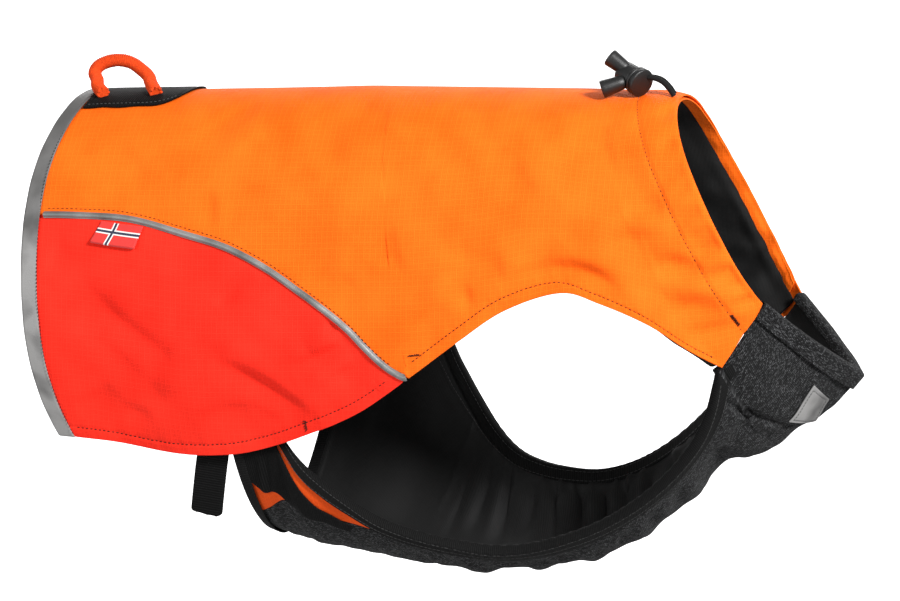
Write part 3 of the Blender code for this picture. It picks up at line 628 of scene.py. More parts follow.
def yarn(name, code, darkCode, scale, roughness=0.8):
    # Twisted polyester yarn: matt, with fibres that vary in tone
    made, tree, shader = newMaterial(name, roughness, Sheen_Weight=0.03, Sheen_Roughness=0.5,
                                     Specular_IOR_Level=0.15)
    fibre = noise(tree, coords(tree, "Object"), scale, 3.0, 0.7)
    share = addNode(tree, "ShaderNodeMapRange", [("Value", fibre), ("From Min", 0.3), ("From Max", 0.7)])
    setColour(tree, shader, share.outputs[0], darkCode, code)
    finishBump(tree, shader, fibre, 0.00015)
    return made


def mouldedAcetal(name, code, lightCode):
    # Acetal moulded in a spark-eroded tool: a fine even grain that greys the black
    made, tree, shader = newMaterial(name, 0.42, Specular_IOR_Level=0.5)
    grain = noise(tree, coords(tree, "Object"), 2600.0, 2.0, 0.6)
    setColour(tree, shader, grain, code, lightCode)
    finishBump(tree, shader, grain, 0.00012)
    return made


orangeNylon = wovenNylon("coated ripstop nylon orange", "#fb711a", "#e15508", 0.0011, 0.0036, 0.75, 0.0)
redNylon = wovenNylon("coated nylon red", "#fb3424", "#e02214", 0.0011, 0.0036, 0.75, 0.0)
# A darker, redder copy of the orange nylon for the wings: painted shade
shadedOrangeNylon = wovenNylon("coated nylon orange with painted shade", "#e2541c", "#c94212", 0.0011, 0.0036, 0.75, 0.0)
# Two copies of one black lining: the body's is made darker, painted shade against the light that comes in at
# the neck
shadedLiningCloth = plainWoven("polyester lining", "#040404", "#0d0d0d", 0.0009, 0.7, 0.02)
# The chest's is made lighter, painted light for lining that lies in shade inside the leg holes
litLiningCloth = plainWoven("polyester lining, lighter copy with painted light", "#101010", "#2b2b2b", 0.0009, 0.6, 0.05)
bindingTape = ribbedTape("elastic grosgrain binding", "#0c0c0c", "#262626", 0.0013, 0.75)
webbingTape = ribbedTape("polyester webbing", "#070707", "#1c1c1c", 0.0016, 0.72)
knitCloth = melangeKnit("melange jersey", "#070708", "#141415", "#7e7f81", 0.0015, 0.0012)
# Both the tape and the piping take the painted shade that darkens them towards the spine
reflectiveTape = beadedTape("reflective tape", "#8c8b8a", "#4c4b4a", 0.5, 0.15)
reflectivePiping = beadedTape("reflective piping", "#8f9190", "#565958", 0.45, 0.2)
ropeYarn = yarn("polyester rope", "#f4541a", "#b8300c", 1500.0)
cordYarn = yarn("braided cord", "#1c1c1c", "#070707", 2400.0)
darkThread = yarn("polyester thread dark", "#4a1c12", "#240b06", 3000.0, 0.7)
greyThread = yarn("polyester thread grey", "#5b5b5b", "#3a3a3a", 3000.0, 0.7)
foldThread = yarn("dark grey thread", "#4a4a4a", "#303030", 900.0)
blackThread = yarn("polyester thread black", "#1a1a1a", "#050505", 3000.0, 0.6)
blackAcetal = mouldedAcetal("moulded acetal", "#070707", "#1c1c1c")
print("materials made")

# Creases: two ends in X and Z, sideways bow, depth (trough above 0, ridge below) and half width
shellCreases = [
    (-80, -97, -40, -67, 2, -1.0, 9), (-109, -64, -103, -89, 1, 0.9, 6), (7, -108, 23, -93, 3, 1.1, 12),
    (0, -97, -13, -123, 2, 0.8, 9), (88, -49, 107, -66, 2, 0.8, 9), (86, -99, 90, -119, -1, 0.8, 6),
    (66, -121, 69, -133, 1, 1.0, 4.5), (89, -121, 132, -107, 3, 1.5, 6), (122, -109, 162, -120, 5, 2.0, 5.5),
    (120, -99, 168, -110, 4, -0.9, 6), (166, -74, 191, -67, 2, 1.2, 4.5),
    (169, -82, 195, -78, -2, -0.9, 5), (185, -106, 215, -108, 3, 2.0, 5),
    (177, -116, 218, -120, 3, -0.9, 6), (190, -127, 225, -126, -3, 1.9, 5),
    (195, -138, 230, -135, 2, 0.9, 5), (204, -147, 237, -141, -2, 1.7, 4.5),
    (-120, -39, -84, -14, 3, 0.9, 9), (-75, -26, -105, -48, -2, -0.8, 9),
    (-42, -19, -22, -50, 3, 0.6, 12), (37, -11, 56, -42, -3, 0.6, 12),
    (136, -16, 126, -66, 3, 0.7, 12), (151, -22, 165, -49, 2, -0.7, 9),
    (177, -87, 152, -93, 1, 0.9, 6), (-183, -40, -150, -65, 2, 0.7, 12),
    (-204, -66, -157, -72, -2, -0.7, 9), (43, -131, 69, -106, 3, -0.9, 8),
    (30, -147, 53, -131, -2, 0.8, 6), (-23, -109, 5, -123, 3, -0.7, 9),
    (127, -91, 101, -105, 3, 0.7, 9), (146, -83, 177, -62, -3, -0.6, 8)]
casingCreases = [
    (184, -34, 197, -31, 1, 1.0, 3.5), (186, -50, 202, -44, -1, 1.1, 3.5),
    (192, -62, 208, -55, 1, 0.9, 3.5), (199, -78, 214, -69, 1, 1.4, 4), (205, -89, 222, -80, -1, 1.5, 4),
    (210, -99, 228, -90, 1, 1.9, 4), (215, -106, 232, -98, 1, -1.0, 3.5),
    (219, -113, 238, -105, -1, 2.0, 4), (225, -122, 245, -114, 1, 1.6, 3.5),
    (232, -130, 250, -122, -1, 1.4, 3), (180, -15, 194, -13, 1, 0.8, 3.5)]
redCreases = [
    (-192, -128, -131, -173, -3, 1.9, 8), (-98, -139, -73, -116, 2, 1.3, 5),
    (-102, -177, -38, -208, 4, 2.3, 7), (-9, -154, -46, -177, 3, 1.9, 6),
    (-171, -194, -198, -209, 3, 1.4, 7), (-113, -214, -77, -206, 2, 1.3, 6),
    (-34, -166, -13, -156, 1, -1.4, 5), (-41, -193, -6, -167, 2, -1.4, 7),
    (-144, -183, -129, -170, 1, 0.8, 4), (-178, -157, -144, -183, 3, -1.1, 8),
    (-124, -155, -83, -164, 3, -1.0, 11), (-205, -99, -214, -120, 1, 0.9, 5),
    (-138, -198, -107, -182, 2, -1.0, 7), (-23, -147, -15, -152, 1, 1.3, 4),
    (-83, -196, -50, -211, 3, -1.0, 6), (-165, -211, -145, -215, 2, 0.9, 5),
    (-85, -128, -43, -141, 3, -0.7, 9), (2, -165, -16, -183, 1, 0.9, 5)]
creaseForm = {"depth": 2.2, "steep": 0.75, "soft": 1.7, "ends": 0.15}
leftShift = {"x": 9.0, "z": -4.0, "depth": 0.85}  # the hidden side has similar creases, a little moved


def creaseRelief(points, creases):
    # Troughs and ridges on the sides of the vest along bowed lines, steeper on the side that faces down
    total = np.zeros(points.shape[:2])
    x, y, z = points[:, :, 0], points[:, :, 1], points[:, :, 2]
    for xA, zA, xB, zB, bow, depth, half in creases:
        for side in (-1, 1):
            moveX, moveZ, scale = (0, 0, 1) if side < 0 else (leftShift["x"], leftShift["z"],
                                                              leftShift["depth"])
            a, b = np.array([xA + moveX, zA + moveZ]), np.array([xB + moveX, zB + moveZ])
            middle = (a + b) / 2 + np.array([-(b - a)[1], (b - a)[0]]) / np.linalg.norm(b - a) * bow * 2
            turns = np.linspace(0, 1, 8)[:, None]
            line = a * (1 - turns) ** 2 + middle * 2 * turns * (1 - turns) + b * turns ** 2
            reach = 3.0 * half * creaseForm["soft"]
            low, high = line.min(axis=0) - reach, line.max(axis=0) + reach
            near = (x > low[0]) & (x < high[0]) & (z > low[1]) & (z < high[1]) & (y * side > 0)
            if not near.any():
                continue
            px, pz = x[near], z[near]
            best, where, offset = np.full(px.shape, 1e9), np.zeros(px.shape), np.zeros(px.shape)
            for i in range(len(line) - 1):
                wayX, wayZ = line[i + 1] - line[i]
                size = math.hypot(wayX, wayZ)
                run = ((px - line[i, 0]) * wayX + (pz - line[i, 1]) * wayZ) / size ** 2
                held = np.clip(run, 0, 1)
                off = np.hypot(px - line[i, 0] - held * wayX, pz - line[i, 1] - held * wayZ)
                up = ((pz - line[i, 1]) * wayX - (px - line[i, 0]) * wayZ) / size * (1 if wayX >= 0 else -1)
                closer = off < best
                best = np.where(closer, off, best)
                where = np.where(closer, (i + held) / (len(line) - 1), where)
                offset = np.where(closer, up, offset)
            lean = np.tanh(offset / (0.5 * half)) * (1 if depth > 0 else -1)
            steep, soft = creaseForm["steep"], creaseForm["soft"]
            width = half * ((steep + soft) / 2 - lean * (soft - steep) / 2)
            form = np.exp(-(best / width) ** 2)
            form *= creaseForm["ends"] + (1 - creaseForm["ends"]) * np.sin(math.pi * where) ** 0.8
            total[near] -= form * depth * scale * creaseForm["depth"]
    return total


def clothWaves(points):
    # Broad uneven waves of cloth that isn't pulled tight
    x, z = points[:, :, 0], points[:, :, 2] + 0.35 * np.abs(points[:, :, 1])
    total = 0.55 * np.sin(x * 0.071 + z * 0.052 + 1.7 * np.sin(z * 0.021 + 0.4))
    total += 0.40 * np.sin(x * 0.047 - z * 0.113 + 1.3 * np.sin(x * 0.019))
    total += 0.25 * np.sin(x * 0.151 + z * 0.137 + 2.0 * np.sin(z * 0.037 + x * 0.011))
    return total


def hemRelief(at, shares, length):
    # The doubled hem stands a little proud of the panel, with a dent along its stitches
    off = (1 - np.abs(shares)) * length[:, None]
    off = off + 40 * ramp(at, places["corner"] - 0.15, places["corner"] + 0.25)[:, None]
    band = 0.35 * (1 - ramp(off, hemWidth - 0.6, hemWidth + 0.6))
    dent = -0.45 * np.exp(-((off - hemWidth) / 0.9) ** 2)
    pucker = 0.22 * np.sin(at[:, None] * 23.0 + 2 * np.sin(at[:, None] * 7.0))
    return band + dent + pucker * np.exp(-((off - hemWidth) / 6) ** 2)


def casingRelief(at, shares):
    # The drawcord's channel swells between its stitches and the neck edge and is gathered a little
    into = at[:, None] - places["casing"]
    swell = 1.3 * np.sin(math.pi * np.clip(into / (places["neck"] - places["casing"]), 0, 1)) ** 0.8
    dent = -0.7 * np.exp(-(into / 0.035) ** 2)
    wave = np.sin(shares * 46.0 + 3.0 * np.sin(shares * 9.0))
    pucker = 0.45 * wave * np.exp(-(into / 0.22) ** 2) * ramp(np.abs(shares), 0.05, 0.25)
    return swell + dent + pucker


def shellRelief(points, at, shares):
    length = np.where(at > -1, ribLength(at), 0)
    total = creaseRelief(points, shellCreases + redCreases + casingCreases)
    fadeTop = ramp(np.abs(shares), 0.02, 0.10)
    nearNeck = ramp(places["neck"] - at, 0.0, 0.25)[:, None]
    total = total * fadeTop * (0.35 + 0.65 * nearNeck)
    total = total + hemRelief(at, shares, length) * ramp(places["neck"] - at, 0.4, 0.8)[:, None]
    total = total + casingRelief(at, shares)
    slack = clothWaves(points) * ramp(np.abs(shares), 0.05, 0.3)
    pull = ramp(at, 0.0, 0.5)[:, None]
    return (total + slack) * pull


hemSteps = (12.5, 11.0, 9.4, 8.4, 7.8, 7.2, 6.6, 5.4, 3.6, 1.8, 0.7)  # lines over the hem, from its edge


def edgeShares(start, end, steps, length):
    # Even lines, then closer ones over the hem
    limit = end - hemSteps[0] / length
    return spaced(start, limit, steps) + [end - h / length for h in hemSteps[1:]] + [end]


lengths = {}


def lengthAt(at, side):
    key = (round(float(at), 5), side)
    if key not in lengths:
        lengths[key] = float(ribLength(at, side)[0])
    return lengths[key]


panel = {"stations": 250, "steps": 60, "flankSteps": 42, "liningStations": 130, "liningSteps": 52}


def panelShares(at, side):
    length = lengthAt(at, side)
    if at < places["pipingEnd"]:
        end = float(pipingShare(at, side)[0]) - cloth["seam"] / 2 / length
        return spaced(0, end, panel["steps"] + 11)
    return edgeShares(0.0, 1.0, panel["steps"], length)


def makeBackPanel():
    count = panel["stations"]
    stations = spaced(0, places["pipingEnd"] - 0.0001, int(count * 0.42))
    stations += spaced(places["pipingEnd"] + 0.001, places["neck"], count - int(count * 0.42))
    return clothLayer("backPanel", body, stations, bothSides(panelShares), 0, -cloth["shell"],
                      orangeNylon, shellRelief)


def makeFlank(side, name):
    stations = spaced(0, places["pipingEnd"] - 0.12, 110)

    def shares(at):
        length = lengthAt(at, side)
        start = float(pipingShare(at, side)[0]) + cloth["seam"] / 2 / length
        room = (1 - start) * length
        if room > 30:
            return [side * s for s in edgeShares(start, 1.0, panel["flankSteps"], length)]
        return [side * s for s in spaced(start, 1.0, panel["flankSteps"] + 11)]
    return clothLayer(name, body, stations, shares, 0, -cloth["shell"], redNylon, shellRelief)


def place(piece, slot, *nodes):
    # Each piece rides the one body and stands for its solid
    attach(piece, "root")
    if nodes:
        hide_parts(*nodes)
    return piece


backPanel = place(makeBackPanel(), "orange_nylon", "back_panel")
flankRight = place(makeFlank(-1, "flankRight"), "red_nylon", "flank_right")
flankLeft = place(makeFlank(1, "flankLeft"), "red_nylon", "flank_left")
print("shell made")


def liningFolds(points, at, shares):
    # The loose lining sags inwards in long folds, most by the neck
    u, v = at[:, None], shares * 6.0
    fold = np.abs(np.sin(u * 0.7 + v * 0.8 + 0.9 * np.sin(v * 1.1))) ** 2
    fold += 0.8 * np.abs(np.sin(u * 1.7 - v * 0.9 + 0.8 * np.sin(u * 0.9 + 1.0))) ** 3
    near = ramp(u, 12.6, 14.6) * ramp(places["neck"] - 0.15 - u, 0.0, 0.45)
    fade = ramp(places["neck"] - 0.2 - u, 0, 0.5)
    return -(1.0 * fold * ramp(u, 0.3, 1.0) + 2.2 * near * (0.4 + fold)) * fade


facingWidth = 8.0


def neckRowWidth():
    ends = body(np.array([15.0, 16.0]), np.array([[-0.5], [-0.5]]))[:, 0]
    return float(np.linalg.norm(ends[1] - ends[0]))


def liningShares(at, side):
    return spaced(0.0, 1 - 2.0 / lengthAt(at, side), panel["liningSteps"])


def makeBodyLining():
    end = places["neck"] - (facingWidth + cloth["seam"]) / neckRowWidth()
    # The body lining takes the darker copy of the lining: painted shade
    return clothLayer("bodyLining", body, spaced(0.08, end, panel["liningStations"]),
                      bothSides(liningShares), -cloth["shell"] - cloth["loft"], -stack, shadedLiningCloth,
                      shellRelief, liningFolds)


def makeNeckFacing():
    start = places["neck"] - facingWidth / neckRowWidth()
    return clothLayer("neckFacing", body, spaced(start, places["neck"], 14),
                      lambda at: spaced(-0.955, 0.955, 2 * panel["liningSteps"]),
                      -cloth["shell"] - cloth["loft"], -stack, orangeNylon, shellRelief)


bodyLining = place(makeBodyLining(), "black_lining", "body_lining")
neckFacing = place(makeNeckFacing(), "orange_nylon", "neck_facing")
print("linings of the upper body made")


# Bindings: a tape folded over an edge

def foldedTape(name, surface, at, share, wayAt, wayShare, leg, depth, finish, fold=0.6, room=1.1,
               wave=None, legSteps=7, foldSteps=6, innerLeg=None):
    # at, share: places on the edge; wayAt, wayShare: the way into the cloth
    at, share = np.asarray(at, float), np.asarray(share, float)
    along, across = slopes(surface, at, share[:, None])
    inward = (along * np.asarray(wayAt, float)[:, None, None]
              + across * np.asarray(wayShare, float)[:, None, None])[:, 0]
    length = np.linalg.norm(inward, axis=1)
    inward = inward / length[:, None]
    edge, out = surface(at, share[:, None])[:, 0], normals(surface, at, share[:, None])[:, 0]
    thick = cloth["tape"]
    ripple = wave(at) if wave is not None else np.zeros(len(at))
    top, under = fold, depth + room
    outer, inner = [], []
    legs = np.linspace(1, 0.06, legSteps)
    for t in legs:
        spot, way = legPoint(surface, at, share, wayAt, wayShare, leg * t, length)
        lift = ripple * (0.4 + 0.6 * (1 - t))
        outer.append(spot + way * (top + thick + lift)[:, None])
        inner.append(spot + way * (top + lift)[:, None])
    middle, half = (top - under) / 2, (top + under) / 2
    for turn in np.linspace(math.pi / 2, -math.pi / 2, foldSteps):
        rise, reach = math.sin(turn), math.cos(turn)
        outer.append(edge + out * (middle + rise * (half + thick) + ripple)[:, None]
                     - inward * (reach * (fold + thick)))
        inner.append(edge + out * (middle + rise * half + ripple)[:, None] - inward * (reach * fold))
    for t in legs[::-1]:
        spot, way = legPoint(surface, at, share, wayAt, wayShare, (innerLeg or leg) * t, length)
        lift = ripple * (0.4 + 0.6 * (1 - t))
        outer.append(spot - way * (under + thick - lift)[:, None])
        inner.append(spot - way * (under - lift)[:, None])
    outer, inner = np.stack(outer, axis=1), np.stack(inner, axis=1)
    return clothWall(name, outer, inner, finish, gridUv(outer), 0.4)


def legPoint(surface, at, share, wayAt, wayShare, reach, length):
    inAt = at + np.asarray(wayAt, float) * reach / length
    inShare = share + np.asarray(wayShare, float) * reach / length
    return (surface(inAt, inShare[:, None])[:, 0], normals(surface, inAt, inShare[:, None])[:, 0])


tapes = {"rear": 10.5, "leg": 10.0, "belly": 6.2, "collar": 10.5}


def makeRearBinding():
    shares = np.linspace(-1, 1, 300)
    zero = np.zeros_like(shares)

    def wave(at):
        return 0.12 * np.sin(np.linspace(0, 60, len(at))) + 0.12 * np.sin(np.linspace(1, 143, len(at)))
    return foldedTape("rearBinding", body, zero, shares, zero + 1, zero, tapes["rear"], stack,
                      reflectiveTape, wave=wave)


rearBinding = place(makeRearBinding(), "grey_reflective", "rear_binding")


def wingSeam(at):
    rear, front = places["wingSeamRear"], places["wingSeamFront"]
    return rear + (front - rear) * at / places["wingEnd"]


def makeLegBinding(side, start, name):
    at = np.linspace(start, places["seamRow"] + 0.25, 320)
    way = np.full(len(at), -float(side))

    def wave(where):
        inGathers = ramp(where, gathers["start"], gathers["start"] + 1) * ramp(gathers["end"] - where, 0, 1)
        tuck = -1.6 * ramp(where, places["seamRow"] - 0.25, places["seamRow"] + 0.05)
        return 0.28 * inGathers * np.sin(where * 23.0 + 2 * np.sin(where * 3.0)) + tuck
    return foldedTape(name, lower, at, np.full(len(at), float(side)), way * 0, way, tapes["leg"],
                      lowerStack, bindingTape, wave=wave)


legBindingRight = place(makeLegBinding(-1, 2.0, "legBindingRight"), "black_webbing", "leg_binding_right")
legBindingLeft = place(makeLegBinding(1, 4.0, "legBindingLeft"), "black_webbing", "leg_binding_left")


def makeBellyBinding():
    shares = np.linspace(-1, 1, 200)
    zero = np.zeros_like(shares)
    return foldedTape("bellyBinding", lower, zero, shares, zero + 1, zero, tapes["belly"], lowerStack,
                      bindingTape, 1.2, 2.0)


bellyBinding = place(makeBellyBinding(), "black_webbing", "belly_binding")


def makeCollarEdge():
    shares = np.linspace(-1, 1, 260)
    at = np.full(len(shares), float(places["collar"]))

    def wave(where):
        run = np.linspace(0, 1, len(where))
        return 0.5 * np.sin(run * 31.0 + 1.0) * np.sin(run * math.pi)
    return foldedTape("collarEdge", lower, at, shares, at * 0 - 1, at * 0, tapes["collar"], lowerStack,
                      knitCloth, 1.2, 2.0, wave=wave, innerLeg=4.5)


collarEdge = place(makeCollarEdge(), "melange_knit", "collar_edge")
print("bindings made")


# Lower body

def knitShares(at):
    edge = wingSeam(at) - cloth["seam"] / halfWidths["belly"] if at < places["wingEnd"] + 0.02 else 1.0
    return [edge * s for s in spaced(-1, 1, 94)]


# Sharp folds of the chest's knit: from one row and share to another, depth and half width
chestFolds = [(16.45, -0.97, 17.5, -0.22, 2.6, 0.085), (16.25, -0.95, 17.35, -0.20, -1.3, 0.12),
              (17.1, -0.86, 18.2, -0.55, 0.9, 0.09), (17.5, -0.80, 18.6, -0.62, -0.6, 0.10),
              (16.9, -0.55, 17.9, -0.50, 0.7, 0.08), (15.7, -0.75, 16.3, -0.35, 0.9, 0.10),
              (15.2, -0.60, 15.8, -0.10, 0.9, 0.10), (17.9, -0.12, 18.5, 0.25, 0.8, 0.10),
              (16.4, 0.97, 17.4, 0.30, 2.2, 0.09), (17.2, 0.84, 18.3, 0.55, 0.9, 0.09),
              (15.6, 0.70, 16.2, 0.30, 0.9, 0.10), (16.8, 0.45, 17.9, 0.52, -0.6, 0.10)]


def knitRelief(points, at, shares):
    # Small uneven waves and the folds of the chest
    row = at[:, None]
    soft = 0.45 * np.sin(row * 3.1 + shares * 5.0) * np.sin(shares * 9.0 - row)
    soft = soft + 0.18 * np.sin(row * 9.0 + 4 * np.sin(shares * 7.0))
    for fold in chestFolds:
        depth, half = fold[4:]
        run, offRow, offSide = fromLine(at, shares, fold, 4)
        bow = 0.10 * np.sin(run * math.pi)
        off = np.hypot(offRow - bow, offSide)
        soft = soft - depth * np.exp(-(off / half) ** 2) * (0.4 + 0.6 * np.sin(math.pi * run))
    return soft * ramp(1 - np.abs(shares), 0.0, 0.06)


def makeKnit(start, end, name, stations):
    return clothLayer(name, lower, spaced(start, end, stations), knitShares, 0, -cloth["knit"],
                      knitCloth, knitRelief)


rowSeam = cloth["seam"] / gaps["row"]
bellyPanel = place(makeKnit(0, places["chestStart"] - rowSeam, "bellyPanel", 250),
                   "melange_knit", "belly_panel")
chestPanel = place(makeKnit(places["chestStart"] + rowSeam, places["collar"], "chestPanel", 165),
                   "melange_knit", "chest_panel")


def chestLiningShares(at):
    trim = 1 - 2.0 / halfWidths["belly"]
    return spaced(-trim, trim, 104)


pleats = {"count": 15, "height": 3.0, "start": 5.6, "end": 15.4, "fold": 1.1}


def pleatRelief(points, at, shares):
    # Pleats that the elastic draws into the lining by the leg holes; the rest has broad soft folds
    turn = np.clip((at - pleats["start"]) / (pleats["end"] - pleats["start"]), 0, 1)[:, None]
    fade = ramp(turn, 0, 0.08) * ramp(1 - turn, 0, 0.08)
    inward = 1 - np.abs(shares)
    # They fan out from the binding: the further in, the fewer and the broader
    lean = turn * pleats["count"] * math.pi + 0.9 * np.sin(turn * 29.0)
    lean = lean + 2.4 * inward * np.sin(turn * 11.0 + 0.6)
    near = ramp(inward, 0.06, 0.13) * ramp(0.62 + 0.14 * np.sin(turn * 37.0) - inward, 0.0, 0.45)
    ridge = 1 - np.abs(np.sin(lean)) ** 0.7
    second = np.abs(np.sin(lean * 0.5 + 1.1)) ** 5
    total = pleats["height"] * (0.75 * ridge + 0.45 * second) * near * fade
    # Broad diagonal folds of the wings and the chest
    u, v = at[:, None], shares * 6.0
    broad = np.abs(np.sin(u * 0.95 + v * 0.55 + 0.7 * np.sin(v * 0.9))) ** 3
    broad += 0.7 * np.abs(np.sin(u * 0.55 - v * 0.75 + 1.2 + 0.8 * np.sin(u * 0.7))) ** 4
    total += pleats["fold"] * broad * ramp(inward, 0.05, 0.2)
    # Hem bands along the rear edge and the leg holes
    band = 0.5 * (1 - ramp(inward, 0.155, 0.175)) + 0.5 * (1 - ramp(at[:, None], 0.62, 0.72))
    return total + band + 0.15 * np.sin(u * 41.0) * (1 - ramp(inward, 0.155, 0.175))


def makeChestLining():
    # The chest lining takes the lighter copy of the lining: painted light
    return clothLayer("chestLining", lower, spaced(0.12, places["collar"] - 0.08, 280),
                      chestLiningShares, -cloth["knit"] - cloth["lowerLoft"], -lowerStack, litLiningCloth,
                      None, lambda p, a, s: -pleatRelief(p, a, s))


chestLining = place(makeChestLining(), "black_lining", "chest_lining")


def makeWing(side, name):
    def shares(at):
        seam = wingSeam(at)
        return [side * s for s in spaced(seam, 1.0, 40)]
    end = places["wingEnd"] - rowSeam
    # The wings take the darker copy of the orange nylon, painted shade
    return clothLayer(name, lower, spaced(0, end, 90), shares, 0, -cloth["shell"], shadedOrangeNylon)


wingRight = place(makeWing(-1, "wingRight"), "orange_nylon", "wing_right")
wingLeft = place(makeWing(1, "wingLeft"), "orange_nylon", "wing_left")
print("lower body made")


# Piping, webbing, labels

def stripAlong(name, centre, out, profile, base, finish):
    # A strip that follows a line: profile holds pairs of sideways place and height
    ahead = np.gradient(centre, axis=0)
    across = np.cross(ahead, out)
    across /= np.linalg.norm(across, axis=1, keepdims=True)
    outer = np.stack([centre + across * k + out * h for k, h in profile], axis=1)
    inner = np.stack([centre + across * k * 0.92 + out * base for k, h in profile], axis=1)
    return clothWall(name, outer, inner, finish, gridUv(outer), 0.3)


piping = {"half": 2.2, "height": 1.9, "foot": 0.45}


def makePiping(side, name):
    end = places["pipingEnd"] - 0.04
    at = np.append(np.linspace(11.3 / gaps["rib"], end - 0.02, 230), end)
    share = side * pipingShare(at, side)
    share[-1] = side * (1 - 1.5 / lengthAt(end, side))
    points = body(at, share[:, None])
    out = normals(body, at, share[:, None])
    lift = shellRelief(points, at, share[:, None])
    centre = (points + out * lift[:, :, None])[:, 0]
    half, high = piping["half"], piping["height"]
    profile = [(half * 1.0, piping["foot"] + 0.2), (half * 0.72, piping["foot"] + 0.45)]
    profile += [(half * 0.72 * math.cos(t), piping["foot"] + 0.45 + (high - 0.45) * math.sin(t))
                for t in np.linspace(0.25, math.pi - 0.25, 9)]
    profile += [(-half * 0.72, piping["foot"] + 0.45), (-half * 1.0, piping["foot"] + 0.2)]
    return stripAlong(name, centre, out[:, 0], profile, piping["foot"], reflectivePiping)


pipingRight = place(makePiping(-1, "pipingRight"), "grey_piping", "piping_right")
pipingLeft = place(makePiping(1, "pipingLeft"), "grey_piping", "piping_left")


# Row, middle and half width
flapLine = [(0.45, 0.81, 0.165), (0.8, 0.795, 0.185), (1.4, 0.785, 0.19), (1.9, 0.775, 0.185),
            (2.4, 0.735, 0.145), (3.2, 0.70, 0.080), (4.0, 0.71, 0.055), (4.7, 0.715, 0.045)]


def makeFlapWebbing():
    line = np.array(flapLine)
    at = np.linspace(line[0, 0], line[-1, 0], 130)
    count = len(line) - 1
    index = np.interp(at, line[:, 0], np.arange(count + 1))
    middle, half = smoothColumn(line[:, 1], index, 0, count), smoothColumn(line[:, 2], index, 0, count)
    half = half + 0.006 * np.sin(at * 6.3)
    steps = np.linspace(-1, 1, 41)
    shares = -(middle[:, None] + half[:, None] * steps[None, :])
    points, out = lower(at, shares), normals(lower, at, shares)
    ribbing = 0.08 * np.sin(np.linspace(0, 1, len(at)) * 2 * math.pi * 42)[:, None]
    # Three folds across it, and the edges stitched down
    fold = 0.9 * np.exp(-((at[:, None] - 1.35 - 0.25 * steps[None, :]) / 0.16) ** 2)
    fold = fold - 0.6 * np.exp(-((at[:, None] - 1.75 - 0.25 * steps[None, :]) / 0.14) ** 2)
    fold = fold + 0.7 * np.exp(-((at[:, None] - 2.7 + 0.3 * steps[None, :]) / 0.18) ** 2)
    edge = -0.5 * np.abs(steps[None, :]) ** 8
    outer = points + out * (1.9 + ribbing + fold + edge)[:, :, None]
    return clothWall("flapWebbing", outer, points + out * 0.4, webbingTape, gridUv(points), 0.6)


flapWebbing = place(makeFlapWebbing(), "black_webbing", "flap_webbing")

strap = {"half": 10.0, "thick": 2.0, "ribs": 22, "ribHeight": 0.18, "corner": 3.0}
strapRoute = [(-106.9, -74.0, -222.0), (-107.4, -72.0, -236.0), (-109.2, -71.5, -248.0),
              (-112.4, -71.5, -276.0), (-112.7, -71.5, -278.5)]


def makeStrapEnd():
    route = np.array(strapRoute)
    run = np.concatenate([[0], np.cumsum(np.linalg.norm(np.diff(route, axis=0), axis=1))])
    total = run[-1]
    s = np.linspace(0, total, 120)
    line = np.stack([np.interp(s, run, route[:, k]) for k in range(3)], axis=1)
    line[:, 1] += 0.3 * np.sin(s * 0.11)
    left = total - s
    corner = strap["corner"]
    cut = corner - np.sqrt(np.maximum(corner ** 2 - (corner - left) ** 2, 0))
    half = strap["half"] - np.where(left < corner, cut, 0)
    ribbing = strap["ribHeight"] * (0.5 + 0.5 * np.sin(s / total * 2 * math.pi * strap["ribs"]))
    outer, inner = [], []
    for k in np.linspace(-1, 1, 15):
        shift = np.stack([k * half, -ribbing * (1 - abs(k) ** 8), -1.2 * k * np.ones_like(s)], axis=1)
        back = np.stack([k * half, strap["thick"] + ribbing * 0.6, -1.2 * k * np.ones_like(s)], axis=1)
        outer.append(line + shift)
        inner.append(line + back)
    outer, inner = np.stack(outer, axis=1), np.stack(inner, axis=1)
    return clothWall("strapEnd", outer, inner, webbingTape, gridUv(outer), 0.8)


strapEnd = place(makeStrapEnd(), "black_webbing", "strap_end")


handle = {"start": 0.46, "end": 2.32, "half": 40.0, "squareness": 9, "high": 1.7, "low": 0.6}


def handleWidth(run):
    # The patch keeps its width from the tail and rounds off towards the head
    return handle["half"] * np.sqrt(np.maximum(1 - run ** handle["squareness"], 0))


def makeHandlePatch():
    start, end = handle["start"], handle["end"]
    at = np.linspace(start, end, 90)
    run = (at - start) / (end - start)
    width = np.maximum(handleWidth(run), 2.0)
    width = width + 0.7 * np.sin(run * 17.0 + 0.5) * np.sin(run * math.pi)
    share = width / ribLength(at)
    shares = share[:, None] * np.linspace(-1, 1, 61)[None, :]
    points, out = body(at, shares), normals(body, at, shares)
    lift = shellRelief(points, at, shares)
    off = np.minimum((1 - np.abs(np.linspace(-1, 1, 61)))[None, :] * width[:, None], (run * 44)[:, None])
    off = np.minimum(off, ((1 - run) * 44)[:, None])
    dent = -0.35 * np.exp(-((off - 2.6) / 0.7) ** 2)
    outer = points + out * (handle["high"] + lift + dent)[:, :, None]
    inner = points + out * (handle["low"] + lift)[:, :, None]
    return clothWall("handlePatch", outer, inner, webbingTape, gridUv(points), 0.8)


handlePatch = place(makeHandlePatch(), "black_webbing", "handle_patch")


def through(route, count):
    # Points read from a smooth curve through the route's own points
    route = np.array(route, float)
    last = len(route) - 1
    at = np.linspace(0, last, count)
    return np.stack([smoothColumn(route[:, k], at, 0, last) for k in range(3)], axis=1)


def tubeFrame(line):
    # Directions across a line that don't twist along it
    ahead = np.gradient(line, axis=0)
    ahead /= np.linalg.norm(ahead, axis=1, keepdims=True)
    first = np.cross(ahead[0], [0.3, 1.0, 0.2])
    first /= np.linalg.norm(first)
    acrossA = []
    for way in ahead:
        first = first - way * np.dot(first, way)
        first = first / np.linalg.norm(first)
        acrossA.append(first)
    acrossA = np.array(acrossA)
    return acrossA, np.cross(ahead, acrossA)


